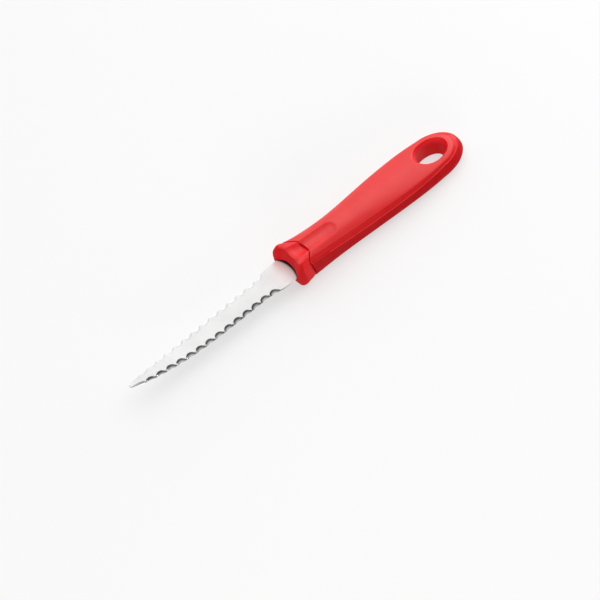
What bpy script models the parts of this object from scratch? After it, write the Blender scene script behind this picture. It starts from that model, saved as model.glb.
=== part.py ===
"""Grapefruit knife with a curved, double-edged scalloped blade and a moulded handle.

The pieces are a stainless blade with its tang, a front collar that carries the blade,
and two half-shells that close round the collar's spigot and the tang.
Every piece is modelled in the knife's own frame: x runs from the collar's mouth to the
hanging hole, y across, z up from the blade's upper face.  An empty then sets the knife
down on its handle, with the origin under the middle of its length.
"""
import math

import bmesh
import bpy
from mathutils import Vector

MM = 0.001

# Blade: lengths run along the steel from the collar's mouth
BLADE_LENGTH = 105.2 * MM
BLADE_THICKNESS = 1.0 * MM
SHOULDER_HALF_WIDTH = 7.4 * MM
SHOULDER_LENGTH = 6.5 * MM
BODY_HALF_WIDTH = 5.85 * MM
TIP_HALF_WIDTH = 0.5 * MM
TAPER_START = 30.0 * MM
BEND_START = 51.3 * MM
BEND_RADIUS = 198.0 * MM
FIRST_TOOTH = 10.6 * MM
PLAIN_TIP = 8.36 * MM
SCALLOP_COUNT = 14
SCALLOP_DEPTH = 2.33 * MM
GRIND_RUN = 1.4 * MM
TIP_BEVEL = 1.1 * MM
TIP_BEVEL_SHARE = 0.55
NARROW_BLADE = 4.2 * MM

# Tang, inside the handle
TANG_LENGTH = 66.0 * MM
TANG_HALF_WIDTH = 4.5 * MM
SHOULDER_DEPTH = 3.0 * MM
TANG_HOLE_RADIUS = 2.1 * MM
POST_MARGIN = 14.4 * MM

# Handle lines: stations along x, then half widths and heights
WAIST_X = 20.0 * MM
BELLY_X = 88.0 * MM
HOLE_X = 104.0 * MM
END_REACH = 20.3 * MM
FOOT_DEPTH = 10.0 * MM
WAIST_HALF_WIDTH = 7.5 * MM
BELLY_HALF_WIDTH = 10.7 * MM
HOLE_END_HALF_WIDTH = 9.9 * MM
FRONT_FLARE = 1.2 * MM
FRONT_FLARE_LENGTH = 14.0 * MM
FRONT_RISE = 0.9 * MM
FRONT_RISE_LENGTH = 8.0 * MM
RIDGE_LEVEL = 0.4 * MM
RIDGE_SWEEP = 7.4 * MM
RIDGE_SWEEP_LENGTH = 50.0 * MM
BAND_HEIGHT = 3.8 * MM
BAND_END_HEIGHT = 0.65 * MM
BAND_TAPER_START = 40.0 * MM
BAND_LEAN = 0.32
DOME_HEIGHT = 3.5 * MM
DOME_FRONT_HEIGHT = 1.0 * MM
DOME_END_HEIGHT = 2.75 * MM
DOME_RUNOUT = 45.0 * MM
BULGE = 0.7 * MM
BULGE_FRONT = 1.6 * MM
BULGE_FRONT_LENGTH = 16.0 * MM
BULGE_END = 1.4 * MM
BULGE_END_START = 60.0 * MM
WIDEST_LEVEL = -4.6 * MM
FOOT_HALF_WIDTH = 5.0 * MM
FOOT_END_HALF_WIDTH = 7.6 * MM
END_OVERHANG = 3.4 * MM
FOOT_SETBACK = 5.8 * MM

# Hanging hole: ellipses at the upper rim, at the parting face and at the foot
RIM_SHIFT = 1.0 * MM
RIM_HALF_LENGTH = 11.4 * MM
RIM_HALF_WIDTH = 7.1 * MM
THROAT_HALF_LENGTH = 9.6 * MM
THROAT_HALF_WIDTH = 5.9 * MM
FOOT_HOLE_HALF_LENGTH = 10.2 * MM
FOOT_HOLE_HALF_WIDTH = 5.3 * MM
FOOT_HOLE_ROUND = 0.6 * MM

# Thumb recess on top, open at the front
RECESS_LENGTH = 33.0 * MM
RECESS_END_RUN = 5.5 * MM
RECESS_DEPTH = 1.8 * MM
RECESS_SHARE = 0.6

# Collar and its spigot
SEAM_X = 6.7 * MM
SEAM_SLANT = 0.28
SEAM_SKEW = 0.22
TONGUE_LENGTH = 5.5 * MM
TONGUE_HALF_WIDTH = 8.3 * MM
TONGUE_POWER = 2.0
FRONT_SET = 1.4 * MM
FRONT_SLANT = 0.25
FRONT_LEVEL = 6.0 * MM
FRONT_MIDDLE = 2.1 * MM
FRONT_SCOOP_HALF_WIDTH = 8.5 * MM
FRONT_SCOOP_POWER = 4.0
MOUTH_RISE = 3.0 * MM
MOUTH_HALF_WIDTH = 6.3 * MM
LIP_RADIUS = 1.5 * MM
LIP_LENGTH = 2.6 * MM
SPIGOT_END = 22.0 * MM
GROOVE_START = 16.4 * MM
GROOVE_END = 18.9 * MM
GROOVE_DEPTH = 1.5 * MM

# Shells
WALL = 2.2 * MM
HOLE_WALL = 9.6 * MM
POST_RADIUS = 3.0 * MM
PIN_HEIGHT = 2.6 * MM
BOSS_RADIUS = 3.3 * MM
CLEARANCE = 0.3 * MM

# Sizes that follow from others
TOOTH_PITCH = (BLADE_LENGTH - FIRST_TOOTH - PLAIN_TIP) / SCALLOP_COUNT
HALF_CHORD = TOOTH_PITCH / 2.0
SCALLOP_RADIUS = (HALF_CHORD ** 2 + SCALLOP_DEPTH ** 2) / (2.0 * SCALLOP_DEPTH)
HANDLE_LENGTH = HOLE_X + END_REACH
RIM_X = HOLE_X - RIM_SHIFT
CAVITY_END = RIM_X - RIM_HALF_LENGTH - HOLE_WALL
POST_PLACES = (SPIGOT_END + POST_MARGIN, TANG_LENGTH - POST_MARGIN)

# Share of the way from the top line to the crease, one value for each line of the dome
DOME_STEPS = (0.0, 0.16, 0.31, 0.43, 0.53, 0.59, 0.63, 0.74, 0.88, 1.0)
DOME_POWER = 2.2
RECESS_POWER = 2.2
BAND_POWER = 1.6
BELLY_STEPS = 6
BELLY_POWER = 2.6
END_UPPER_POWER = 1.85
END_LOWER_POWER = 2.2
UNDERCUT_POWER = 1.25
TAPER_POWER = 2.2
TAPER_FULLNESS = 0.65

# Shares of half a scallop's turn, of the way to the first tooth, and of the plain tip
SCALLOP_STEPS = (-1.0, -0.85, -0.62, -0.4, -0.2, 0.0, 0.2, 0.4, 0.62, 0.85)
SHOULDER_STEPS = (0.35, 0.7)
TIP_STEPS = (0.15, 0.35, 0.55, 0.75, 0.9, 1.0)
UNDERCUT_STEPS = (0.5, 1.0)
COLLAR_STEPS = (0.3, 0.65)
FACE_STEP = 0.5
LIP_STEP = 0.3
RIM_STEP_IN = 0.6
RIM_STEP_DOWN = 0.35
LEAD_STEP = 0.45
SHARP_ANGLE = math.radians(35)
TOUCH = 0.001 * MM

# Lines of the section, counted from the top line to the bottom line
CREASE = len(DOME_STEPS) - 1
RIDGE = CREASE + 1
WIDEST = RIDGE + 2
FOOT = WIDEST + BELLY_STEPS
CENTRE = FOOT + 1

FAN_STEPS = 10
HOLE_STEPS = 8
BARREL_STEPS = 10
RECESS_STEPS = 8
CAVITY_STEPS = 7
ROUND_STEPS = 20


def share(value, start, end):
    """How far value lies from start to end, held between 0 and 1."""
    return min(1.0, max(0.0, (value - start) / (end - start)))


def ease(part):
    """Smooth step from 0 to 1 along half a cosine."""
    return 0.5 - 0.5 * math.cos(math.pi * part)


def mix(first, second, part):
    """Value part of the way from first to second."""
    return first + (second - first) * part


class Surface:
    """Collects faces by corner position, so that equal corners become one vertex."""

    def __init__(self):
        self.mesh = bmesh.new()
        self.corners = {}

    def vertex(self, point):
        key = tuple(round(value / TOUCH) for value in point)
        if key not in self.corners:
            self.corners[key] = self.mesh.verts.new(point)
        return self.corners[key]

    def face(self, points):
        corners = []
        for point in points:
            vertex = self.vertex(point)
            if vertex not in corners:
                corners.append(vertex)
        if len(corners) > 2:
            self.mesh.faces.new(corners)

    def strip(self, first, second):
        """Faces between two lines of points with equal counts."""
        for i in range(len(first) - 1):
            self.face((first[i], second[i], second[i + 1], first[i + 1]))

    def loop_strip(self, first, second):
        """Faces between two closed rings of points with equal counts."""
        self.strip(list(first) + [first[0]], list(second) + [second[0]])

    def finish(self, name, material):
        bmesh.ops.triangulate(self.mesh, faces=self.mesh.faces)
        bmesh.ops.recalc_face_normals(self.mesh, faces=self.mesh.faces)
        data = bpy.data.meshes.new(name)
        self.mesh.to_mesh(data)
        self.mesh.free()
        return add_object(name, data, material)


def add_object(name, data, material):
    """Puts a mesh into the scene as a smooth-shaded piece of the knife."""
    item = bpy.data.objects.new(name, data)
    bpy.context.scene.collection.objects.link(item)
    data.materials.append(material)
    data.shade_smooth()
    data.set_sharp_from_angle(angle=SHARP_ANGLE)
    return item


def make_material(name, colour, roughness, metallic):
    """Plain Principled material of one piece."""
    material = bpy.data.materials.new(name)
    material.use_nodes = True
    shader = material.node_tree.nodes["Principled BSDF"]
    shader.inputs["Base Color"].default_value = (*colour, 1.0)
    shader.inputs["Roughness"].default_value = roughness
    shader.inputs["Metallic"].default_value = metallic
    return material


def hide(item):
    """Marks a shape that only cuts or joins another one."""
    item.hide_render = True
    item.display_type = "WIRE"
    return item


def combine(item, other, operation):
    """Adds a Boolean with a helper shape to a piece."""
    step = item.modifiers.new(other.name, "BOOLEAN")
    step.operation = operation
    step.solver = "EXACT"
    step.object = hide(other)


def turned(name, material, outline, place):
    """Closed solid turned round z at a place, from (radius, height) pairs in order."""
    surface = Surface()
    rings = []
    for radius, height in outline:
        circle = []
        for i in range(ROUND_STEPS):
            turn = 2.0 * math.pi * i / ROUND_STEPS
            circle.append(place + Vector((radius * math.cos(turn), radius * math.sin(turn), height)))
        rings.append(circle)
    for upper, lower in zip(rings, rings[1:]):
        surface.loop_strip(upper, lower)
    surface.face(rings[0])
    surface.face(rings[-1])
    return surface.finish(name, material)


# Blade


def bent(run, side, height):
    """Point of the blade at a run along the steel, with its outer part bent upwards."""
    turn = max(0.0, run - BEND_START) / BEND_RADIUS
    flat = min(run, BEND_START)
    reach = (BEND_RADIUS - height) * math.sin(turn)
    lift = BEND_RADIUS - (BEND_RADIUS - height) * math.cos(turn)
    return Vector((-flat - reach, side, lift if turn > 0.0 else height))


def tooth_line(run):
    """Half width over the tooth points."""
    taper = share(run, TAPER_START, BLADE_LENGTH) ** TAPER_POWER
    body = mix(TIP_HALF_WIDTH, BODY_HALF_WIDTH, (1.0 - taper) ** TAPER_FULLNESS)
    narrowing = ease(share(run, SHOULDER_LENGTH, FIRST_TOOTH + TOOTH_PITCH))
    return body + (SHOULDER_HALF_WIDTH - BODY_HALF_WIDTH) * (1.0 - narrowing)


def scallop_depth(run, middle):
    """Depth of the ground scallop in the upper face, below the line of its two tooth points."""
    across = min(abs(run - middle), HALF_CHORD)
    arc = math.sqrt(SCALLOP_RADIUS ** 2 - across ** 2) - math.sqrt(SCALLOP_RADIUS ** 2 - HALF_CHORD ** 2)
    return arc * min(1.0, tooth_line(middle) / NARROW_BLADE)


def edge_profile(run, outer, cut, slope_run):
    """Upper, ground and lower corner of one edge, as (run, side, height)."""
    ground = outer - max(0.0, cut - slope_run)
    depth = BLADE_THICKNESS * min(1.0, cut / slope_run)
    return [(run, outer - cut, 0.0), (run, ground, -depth), (run, ground, -BLADE_THICKNESS)]


def plain_profile(run, half_width):
    """Profile with a square edge."""
    return edge_profile(run, half_width, 0.0, GRIND_RUN)


def blade_profiles():
    """Edge profiles from the end of the tang to the tip."""
    profiles = [plain_profile(-TANG_LENGTH, TANG_HALF_WIDTH - BLADE_THICKNESS)]
    profiles.append(plain_profile(BLADE_THICKNESS - TANG_LENGTH, TANG_HALF_WIDTH))
    profiles.append(plain_profile(-SHOULDER_DEPTH - BLADE_THICKNESS, TANG_HALF_WIDTH))
    profiles.append(plain_profile(-SHOULDER_DEPTH, SHOULDER_HALF_WIDTH))
    for part in (0.0, 0.5, 1.0):
        profiles.append(plain_profile(SHOULDER_LENGTH * part, SHOULDER_HALF_WIDTH))
    for part in SHOULDER_STEPS:
        run = mix(SHOULDER_LENGTH, FIRST_TOOTH, part)
        profiles.append(plain_profile(run, tooth_line(run)))
    widest_turn = math.asin(HALF_CHORD / SCALLOP_RADIUS)
    turns = [widest_turn * part for part in SCALLOP_STEPS]
    for i in range(SCALLOP_COUNT):
        middle = FIRST_TOOTH + TOOTH_PITCH * (i + 0.5)
        first = tooth_line(middle - HALF_CHORD)
        second = tooth_line(middle + HALF_CHORD)
        for turn in turns:
            run = middle + SCALLOP_RADIUS * math.sin(turn)
            outer = mix(first, second, share(run, middle - HALF_CHORD, middle + HALF_CHORD))
            profiles.append(edge_profile(run, outer, scallop_depth(run, middle), GRIND_RUN))
    last_tooth = FIRST_TOOTH + TOOTH_PITCH * SCALLOP_COUNT
    profiles.append(plain_profile(last_tooth, tooth_line(last_tooth)))
    for part in TIP_STEPS:
        run = mix(last_tooth, BLADE_LENGTH, part)
        outer = tooth_line(run)
        bevel = min(TIP_BEVEL, TIP_BEVEL_SHARE * outer)
        profiles.append(edge_profile(run, outer, bevel, bevel))
    return profiles


def make_blade(material):
    """Blade and tang in one piece of steel, with two holes for the shells' pins."""
    surface = Surface()
    rings = []
    for profile in blade_profiles():
        near = [bent(run, side, height) for run, side, height in profile]
        far = [bent(run, -side, height) for run, side, height in reversed(profile)]
        rings.append(near + far)
    for first, second in zip(rings, rings[1:]):
        surface.loop_strip(first, second)
    surface.face(rings[0])
    surface.face(rings[-1])
    blade = surface.finish("blade", material)
    for i, place in enumerate(POST_PLACES):
        outline = [(TANG_HOLE_RADIUS, BLADE_THICKNESS), (TANG_HOLE_RADIUS, -2.0 * BLADE_THICKNESS)]
        combine(blade, turned(f"tang_hole_{i}", material, outline, Vector((place, 0.0, 0.0))), "DIFFERENCE")
    return blade


# Handle section


def ridge_height(x):
    """Height of the parting ridge, which sweeps up towards the collar."""
    return RIDGE_LEVEL + RIDGE_SWEEP * (1.0 - share(x, 0.0, RIDGE_SWEEP_LENGTH)) ** 2


def band_height(x):
    """Height of the flat side band between the ridge and the crease."""
    lip = FRONT_RISE * (1.0 - share(x, 0.0, FRONT_RISE_LENGTH)) ** 2
    return lip + mix(BAND_HEIGHT, BAND_END_HEIGHT, share(x, BAND_TAPER_START, HOLE_X) ** BAND_POWER)


def crease_half_width(x):
    """Half width at the crease where the dome meets the side band."""
    width = mix(WAIST_HALF_WIDTH, BELLY_HALF_WIDTH, ease(share(x, WAIST_X, BELLY_X)))
    width += FRONT_FLARE * (1.0 - share(x, 0.0, FRONT_FLARE_LENGTH)) ** 2
    return width + (HOLE_END_HALF_WIDTH - BELLY_HALF_WIDTH) * share(x, BELLY_X, HOLE_X) ** 2


def dome_height(x):
    """Height of the top line above the crease."""
    height = mix(DOME_FRONT_HEIGHT, DOME_HEIGHT, 1.0 - (1.0 - share(x, 0.0, DOME_RUNOUT)) ** 2)
    return height + (DOME_END_HEIGHT - DOME_HEIGHT) * share(x, BULGE_END_START, HOLE_X)


def bulge(x):
    """How far the lower half stands out beyond the ridge."""
    front = BULGE_FRONT * (1.0 - share(x, 0.0, BULGE_FRONT_LENGTH)) ** 2
    return BULGE + front + BULGE_END * share(x, BULGE_END_START, HOLE_X) ** 2


def recess_depth(x, dome_share):
    """Depth of the dished thumb recess, with a rounded end towards the belly."""
    along = max(0.0, x - (RECESS_LENGTH - RECESS_END_RUN)) / RECESS_END_RUN
    rim = math.hypot(along, dome_share / RECESS_SHARE)
    return RECESS_DEPTH * max(0.0, 1.0 - rim ** RECESS_POWER)


def section(x, inset=0.0, rim_share=0.0, lower_rim=(0.0, 0.0)):
    """Half section from the top line to the bottom line.

    Each entry gives the half width, the reach past the hole's middle at the handle's round
    end, and the height.  rim_share starts the dome at the hole's rim, and lower_rim is the
    half width and reach where the flat foot ends.  An inset section lies inside the wall:
    crease and dome each take half of it, and under the recess the dome sinks until it is flat.
    """
    ridge = ridge_height(x)
    band = band_height(x)
    crease_width = crease_half_width(x) - inset
    widest_reach = END_REACH - inset
    ridge_reach = widest_reach - END_OVERHANG
    lean = BAND_LEAN * band
    crease = ridge + band - inset / 2.0
    dome = dome_height(x) - inset / 2.0
    if inset > 0.0:
        dome = max(0.0, dome - recess_depth(x, 0.0))
    points = []
    for step in DOME_STEPS:
        part = mix(rim_share, 1.0, step)
        height = crease + dome * (1.0 - part ** DOME_POWER)
        if inset == 0.0:
            height -= recess_depth(x, part)
        points.append((part * crease_width, part * (ridge_reach - lean), height))
    ridge_width = crease_width + lean
    points.append((ridge_width, ridge_reach, ridge))
    widest_width = ridge_width + bulge(x)
    for part in UNDERCUT_STEPS:
        round_part = 1.0 - (1.0 - part) ** UNDERCUT_POWER
        width = mix(ridge_width, widest_width, round_part)
        reach = mix(ridge_reach, widest_reach, round_part)
        points.append((width, reach, mix(ridge, WIDEST_LEVEL, part)))
    foot_width = mix(FOOT_HALF_WIDTH, FOOT_END_HALF_WIDTH, share(x, BULGE_END_START, HOLE_X)) - inset / 2.0
    foot_reach = widest_reach - FOOT_SETBACK
    for i in range(1, BELLY_STEPS + 1):
        turn = 0.5 * math.pi * i / BELLY_STEPS
        out = math.cos(turn) ** (2.0 / BELLY_POWER) if i < BELLY_STEPS else 0.0
        down = math.sin(turn) ** (2.0 / BELLY_POWER)
        height = mix(WIDEST_LEVEL, inset - FOOT_DEPTH, down)
        points.append((mix(foot_width, widest_width, out), mix(foot_reach, widest_reach, out), height))
    points.append((*lower_rim, inset - FOOT_DEPTH))
    return points


def ring(points_at):
    """Closed ring of points round the handle from a function of (column, side)."""
    right = [points_at(k, 1.0) for k in range(CENTRE + 1)]
    left = [points_at(k, -1.0) for k in range(CENTRE + 1)]
    return right + left[-2:0:-1]


def section_ring(x, inset):
    """Ring of a whole section at one place."""
    points = section(x, inset)
    return ring(lambda k, side: Vector((x, side * points[k][0], points[k][2])))


def seam_x(column, side):
    """Place of the seam between collar and shells on one line of the section."""
    width, reach, height = section(SEAM_X)[column]
    skew = SEAM_SKEW * side * width
    if column <= CREASE:
        return SEAM_X - skew + TONGUE_LENGTH * (1.0 - min(1.0, width / TONGUE_HALF_WIDTH) ** TONGUE_POWER)
    return SEAM_X - skew + SEAM_SLANT * max(0.0, ridge_height(SEAM_X) - height)


def surface_point(column, side, x, inset=0.0):
    """Point of the handle's surface, or of one inset from it, on one line of the section."""
    width, reach, height = section(x, inset)[column]
    return Vector((x, side * width, height))


# Collar


def front_x(side, height):
    """Place of the collar's front face: scooped out between two lobes that lean back below."""
    lobe = FRONT_SLANT * max(0.0, FRONT_LEVEL - height) - FRONT_SET
    scoop = max(0.0, 1.0 - (side / FRONT_SCOOP_HALF_WIDTH) ** FRONT_SCOOP_POWER)
    return lobe + max(0.0, FRONT_MIDDLE - lobe) * scoop


def slot_corner(column, half_width):
    """Side and height of the tang slot's outline, or of the arched mouth, on one line of the section."""
    top = CLEARANCE
    bottom = -BLADE_THICKNESS - CLEARANCE
    tang = TANG_HALF_WIDTH + CLEARANCE
    if column <= CREASE:
        side = tang * column / CREASE
        rise = MOUTH_RISE if half_width > tang else 0.0
        return side, top + rise * max(0.0, 1.0 - (side / MOUTH_HALF_WIDTH) ** 2)
    if column >= WIDEST:
        return tang * (CENTRE - column) / (CENTRE - WIDEST), bottom
    if half_width > tang:
        return half_width, top if column == RIDGE else bottom
    return tang, mix(top, bottom, (column - CREASE) / (WIDEST - CREASE))


def slot_ring(half_width, x=None):
    """Ring of the tang slot at one place, or on the front face."""
    def point(column, side):
        width, height = slot_corner(column, half_width)
        return Vector((front_x(width, height) if x is None else x, side * width, height))
    return ring(point)


def front_place(column, inset):
    """Place of the front face on one line of the section."""
    width, reach, height = section(0.0, inset)[column]
    return front_x(width, height)


def front_ring(inset, behind):
    """Ring near the collar's front edge, at a depth behind the front face."""
    return ring(lambda k, side: surface_point(k, side, front_place(k, inset) + behind, inset))


def seam_ring(inset):
    """Ring of the collar's shoulder at the seam."""
    gap = CLEARANCE / 2.0
    return ring(lambda k, side: surface_point(k, side, seam_x(k, side) - gap, inset))


def between(first, second, part):
    """Ring part of the way from one ring to another."""
    return [a.lerp(b, part) for a, b in zip(first, second)]


def make_collar(material):
    """Collar with its grooved spigot, a closed sleeve round the tang."""
    mouth = slot_ring(SHOULDER_HALF_WIDTH + CLEARANCE)
    face_edge = front_ring(LIP_RADIUS, 0.0)
    lip_end = front_ring(0.0, LIP_LENGTH)
    spigot = WALL + CLEARANCE
    groove = spigot + GROOVE_DEPTH
    step_x = SHOULDER_DEPTH + BLADE_THICKNESS + CLEARANCE
    rings = [mouth, between(mouth, face_edge, FACE_STEP), face_edge]
    rings.append(front_ring(LIP_STEP * LIP_RADIUS, LIP_STEP * LIP_LENGTH))
    rings.append(lip_end)
    for part in COLLAR_STEPS:
        rings.append(ring(lambda k, side: lip_to_seam(k, side, part)))
    rings.append(seam_ring(0.0))
    rings.append(seam_ring(spigot))
    for x, inset in ((GROOVE_START, spigot), (GROOVE_START, groove), (GROOVE_END, groove),
                     (GROOVE_END, spigot), (SPIGOT_END, spigot)):
        rings.append(section_ring(x, inset))
    rings.append(slot_ring(TANG_HALF_WIDTH + CLEARANCE, SPIGOT_END))
    rings.append(slot_ring(TANG_HALF_WIDTH + CLEARANCE, step_x))
    rings.append(slot_ring(SHOULDER_HALF_WIDTH + CLEARANCE, step_x))
    surface = Surface()
    for first, second in zip(rings, rings[1:] + rings[:1]):
        surface.loop_strip(first, second)
    return surface.finish("collar", material)


def lip_to_seam(column, side, part):
    """Point of the collar's outer surface part of the way from its lip to the seam."""
    start = front_place(column, 0.0) + LIP_LENGTH
    return surface_point(column, side, mix(start, seam_x(column, side) - CLEARANCE / 2.0, part))


# Half-shells


class Rim:
    """Outline of the hanging hole on one face: the ellipse where the outer surface ends."""

    def __init__(self, x, half_length, half_width):
        self.x = x
        self.half_length = half_length
        self.half_width = half_width

    def start(self):
        return self.x - self.half_length

    def reach_share(self, x, along, across):
        """Share of a step (along, across) from the centre line at x that meets the ellipse."""
        first = (x - self.x) / self.half_length
        run = along / self.half_length
        width = across / self.half_width
        square = run ** 2 + width ** 2
        root = (first * run) ** 2 - square * (first ** 2 - 1.0)
        return (math.sqrt(max(0.0, root)) - first * run) / square

    def turn(self, point):
        """Angle of a point round the ellipse."""
        return math.atan2(point.y / self.half_width, (point.x - self.x) / self.half_length)

    def point(self, turn, height):
        along = self.half_length * math.cos(turn)
        return Vector((self.x + along, self.half_width * math.sin(turn), height))


UPPER_RIM = Rim(RIM_X, RIM_HALF_LENGTH, RIM_HALF_WIDTH)
THROAT = Rim(HOLE_X, THROAT_HALF_LENGTH, THROAT_HALF_WIDTH)
LOWER_RIM = Rim(HOLE_X, FOOT_HOLE_HALF_LENGTH, FOOT_HOLE_HALF_WIDTH)


def end_power(column):
    """Fullness of the handle's round end on one line of the section."""
    return mix(END_UPPER_POWER, END_LOWER_POWER, share(column, RIDGE, WIDEST))


class Row:
    """One half section of a shell: a straight one at x, or one of the fan at the round end."""

    def __init__(self, x, turn, side, rim, lead=None):
        self.x = x
        self.turn = turn
        self.side = side
        self.lead = lead
        self.at_hole = x > rim.start() - TOUCH
        base = section(x)
        upper_share = 0.0
        lower_rim = (0.0, 0.0)
        if self.at_hole:
            upper_share = self.rim_share(base[CREASE], CREASE, rim)
            foot = base[FOOT]
            foot_share = self.rim_share(foot, FOOT, rim)
            lower_rim = (foot_share * foot[0], foot_share * foot[1])
        self.points = section(x, 0.0, upper_share, lower_rim)

    def step(self, entry, column):
        """Step from the centre line to an entry of the section."""
        width, reach, height = entry
        power = 2.0 / end_power(column)
        along = math.sin(self.turn) ** power if self.turn > 0.0 else 0.0
        return reach * along, self.side * width * math.cos(self.turn) ** power

    def rim_share(self, entry, column, rim):
        return rim.reach_share(self.x, *self.step(entry, column))

    def at(self, column):
        if self.lead is not None:
            start = seam_x(column, self.side) + CLEARANCE / 2.0
            return surface_point(column, self.side, mix(start, self.x, self.lead))
        along, across = self.step(self.points[column], column)
        return Vector((self.x + along, across, self.points[column][2]))


def shell_rows(rim):
    """Rows from the seam along one side, round the hole's end and back along the other side."""
    lead_end = SPIGOT_END
    places = [(lead_end, 0.0), (lead_end, LEAD_STEP)]
    places += [(mix(lead_end, RECESS_LENGTH, i / RECESS_STEPS), None) for i in range(RECESS_STEPS + 1)]
    places += [(mix(RECESS_LENGTH, rim.start(), i / BARREL_STEPS), None) for i in range(1, BARREL_STEPS + 1)]
    for i in range(1, HOLE_STEPS + 1):
        part = math.cos(0.5 * math.pi * i / HOLE_STEPS)
        places.append((mix(HOLE_X, rim.start(), part), None))
    right = [Row(x, 0.0, 1.0, rim, lead) for x, lead in places]
    left = [Row(x, 0.0, -1.0, rim, lead) for x, lead in reversed(places)]
    turns = [0.5 * math.pi * i / FAN_STEPS for i in range(1, FAN_STEPS + 1)]
    right += [Row(HOLE_X, turn, 1.0, rim) for turn in turns]
    left = [Row(HOLE_X, turn, -1.0, rim) for turn in reversed(turns[:-1])] + left
    return right + left


def split_height(x, upper):
    """Height of one shell's parting face."""
    return ridge_height(x) + (CLEARANCE / 2.0 if upper else -CLEARANCE / 2.0)


def shell_line(row, upper):
    """Outer points of one row, from the top or bottom line to the parting face."""
    if upper:
        points = [row.at(k) for k in range(RIDGE + 1)]
    else:
        points = [row.at(k) for k in range(CENTRE, RIDGE - 1, -1)]
    points[-1].z += CLEARANCE / 2.0 if upper else -CLEARANCE / 2.0
    return points


def hole_wall(edge, upper):
    """Points from the rim of the hole to the parting face."""
    parting = split_height(HOLE_X, upper)
    if upper:
        turn = UPPER_RIM.turn(edge)
        throat = THROAT.point(turn, parting)
        middle = edge.lerp(throat, RIM_STEP_IN)
        middle.z = mix(edge.z, parting, RIM_STEP_DOWN)
        return [edge, middle, throat]
    turn = LOWER_RIM.turn(edge)
    throat = THROAT.point(turn, parting)
    inner = edge.lerp(Vector((HOLE_X, 0.0, edge.z)), FOOT_HOLE_ROUND / FOOT_HOLE_HALF_LENGTH)
    inner.z += FOOT_HOLE_ROUND
    return [edge, inner, throat]


def make_half(name, material, upper):
    """Solid half of the handle behind the seam, with its half of the hanging hole."""
    rows = shell_rows(UPPER_RIM if upper else LOWER_RIM)
    lines = [shell_line(row, upper) for row in rows]
    surface = Surface()
    walls = []
    inner = []
    for row, line in zip(rows, lines):
        if row.at_hole:
            wall = hole_wall(line[0], upper)
            walls.append(wall)
            inner.append(wall[-1])
        else:
            inner.append(Vector((line[0].x, 0.0, split_height(line[0].x, upper))))
    for first, second in zip(lines, lines[1:]):
        surface.strip(first, second)
    for first, second in zip(walls, walls[1:]):
        surface.strip(first, second)
    for i in range(1, len(rows) - 2):
        surface.face((lines[i][-1], inner[i], inner[i + 1], lines[i + 1][-1]))
    for end, step in ((0, 1), (len(rows) - 1, -1)):
        line = lines[end]
        count = len(line) - 1
        floor = []
        for k, point in enumerate(line):
            floor.append(Vector((point.x, line[-1].y * k / count, split_height(point.x, upper))))
        floor[-1] = line[-1]
        surface.strip(line, floor)
        surface.face(floor + [lines[end + step][-1], inner[end + step]])
    return surface.finish(name, material)


def make_cavity(name, material):
    """Inner space of the handle, with the rib that drops into the collar's groove."""
    rib = WALL + GROOVE_DEPTH
    rib_start = GROOVE_START + CLEARANCE
    rib_end = GROOVE_END - CLEARANCE
    stations = [(mix(0.0, rib_start, i / CAVITY_STEPS), WALL) for i in range(CAVITY_STEPS + 1)]
    stations += [(rib_start, rib), (rib_end, rib)]
    stations += [(mix(rib_end, CAVITY_END, i / CAVITY_STEPS), WALL) for i in range(CAVITY_STEPS + 1)]
    rings = [section_ring(x, inset) for x, inset in stations]
    surface = Surface()
    for first, second in zip(rings, rings[1:]):
        surface.loop_strip(first, second)
    surface.face(rings[0])
    surface.face(rings[-1])
    return surface.finish(name, material)


def make_upper_shell(material):
    """Upper half-shell, with two bosses that take the pins."""
    shell = make_half("upper_handle_shell", material, True)
    combine(shell, make_cavity("upper_cavity", material), "DIFFERENCE")
    for i, place in enumerate(POST_PLACES):
        roof = WALL / 2.0 + min(
            section(place - BOSS_RADIUS, WALL)[0][2], section(place + BOSS_RADIUS, WALL)[0][2])
        boss = [(BOSS_RADIUS, roof), (BOSS_RADIUS, CLEARANCE), (TANG_HOLE_RADIUS, CLEARANCE),
                (TANG_HOLE_RADIUS, PIN_HEIGHT + CLEARANCE)]
        combine(shell, turned(f"boss_{i}", material, boss, Vector((place, 0.0, 0.0))), "UNION")
    return shell


def make_lower_shell(material):
    """Lower half-shell, with two posts whose pins pass through the tang."""
    shell = make_half("lower_handle_shell", material, False)
    combine(shell, make_cavity("lower_cavity", material), "DIFFERENCE")
    floor = WALL / 2.0 - FOOT_DEPTH
    seat = -BLADE_THICKNESS - CLEARANCE
    pin = TANG_HOLE_RADIUS - CLEARANCE
    for i, place in enumerate(POST_PLACES):
        post = [(pin, PIN_HEIGHT), (pin, seat), (POST_RADIUS, seat), (POST_RADIUS, floor)]
        combine(shell, turned(f"post_{i}", material, post, Vector((place, 0.0, 0.0))), "UNION")
    return shell


def clear_scene():
    """Removes whatever the scene starts with."""
    for item in list(bpy.data.objects):
        bpy.data.objects.remove(item, do_unlink=True)


def main():
    clear_scene()
    steel = make_material("blade_steel", (0.78, 0.78, 0.77), 0.22, 1.0)
    collar_red = make_material("collar_plastic", (0.70, 0.03, 0.035), 0.42, 0.0)
    upper_red = make_material("upper_shell_plastic", (0.72, 0.045, 0.042), 0.45, 0.0)
    lower_red = make_material("lower_shell_plastic", (0.68, 0.04, 0.04), 0.45, 0.0)
    knife = bpy.data.objects.new("knife", None)
    bpy.context.scene.collection.objects.link(knife)
    tip = bent(BLADE_LENGTH, 0.0, -BLADE_THICKNESS)
    knife.location = (-(HANDLE_LENGTH + tip.x) / 2.0, 0.0, FOOT_DEPTH)
    make_blade(steel)
    make_collar(collar_red)
    make_upper_shell(upper_red)
    make_lower_shell(lower_red)
    for item in bpy.data.objects:
        if item is not knife:
            item.parent = knife


main()
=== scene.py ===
import math

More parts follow.
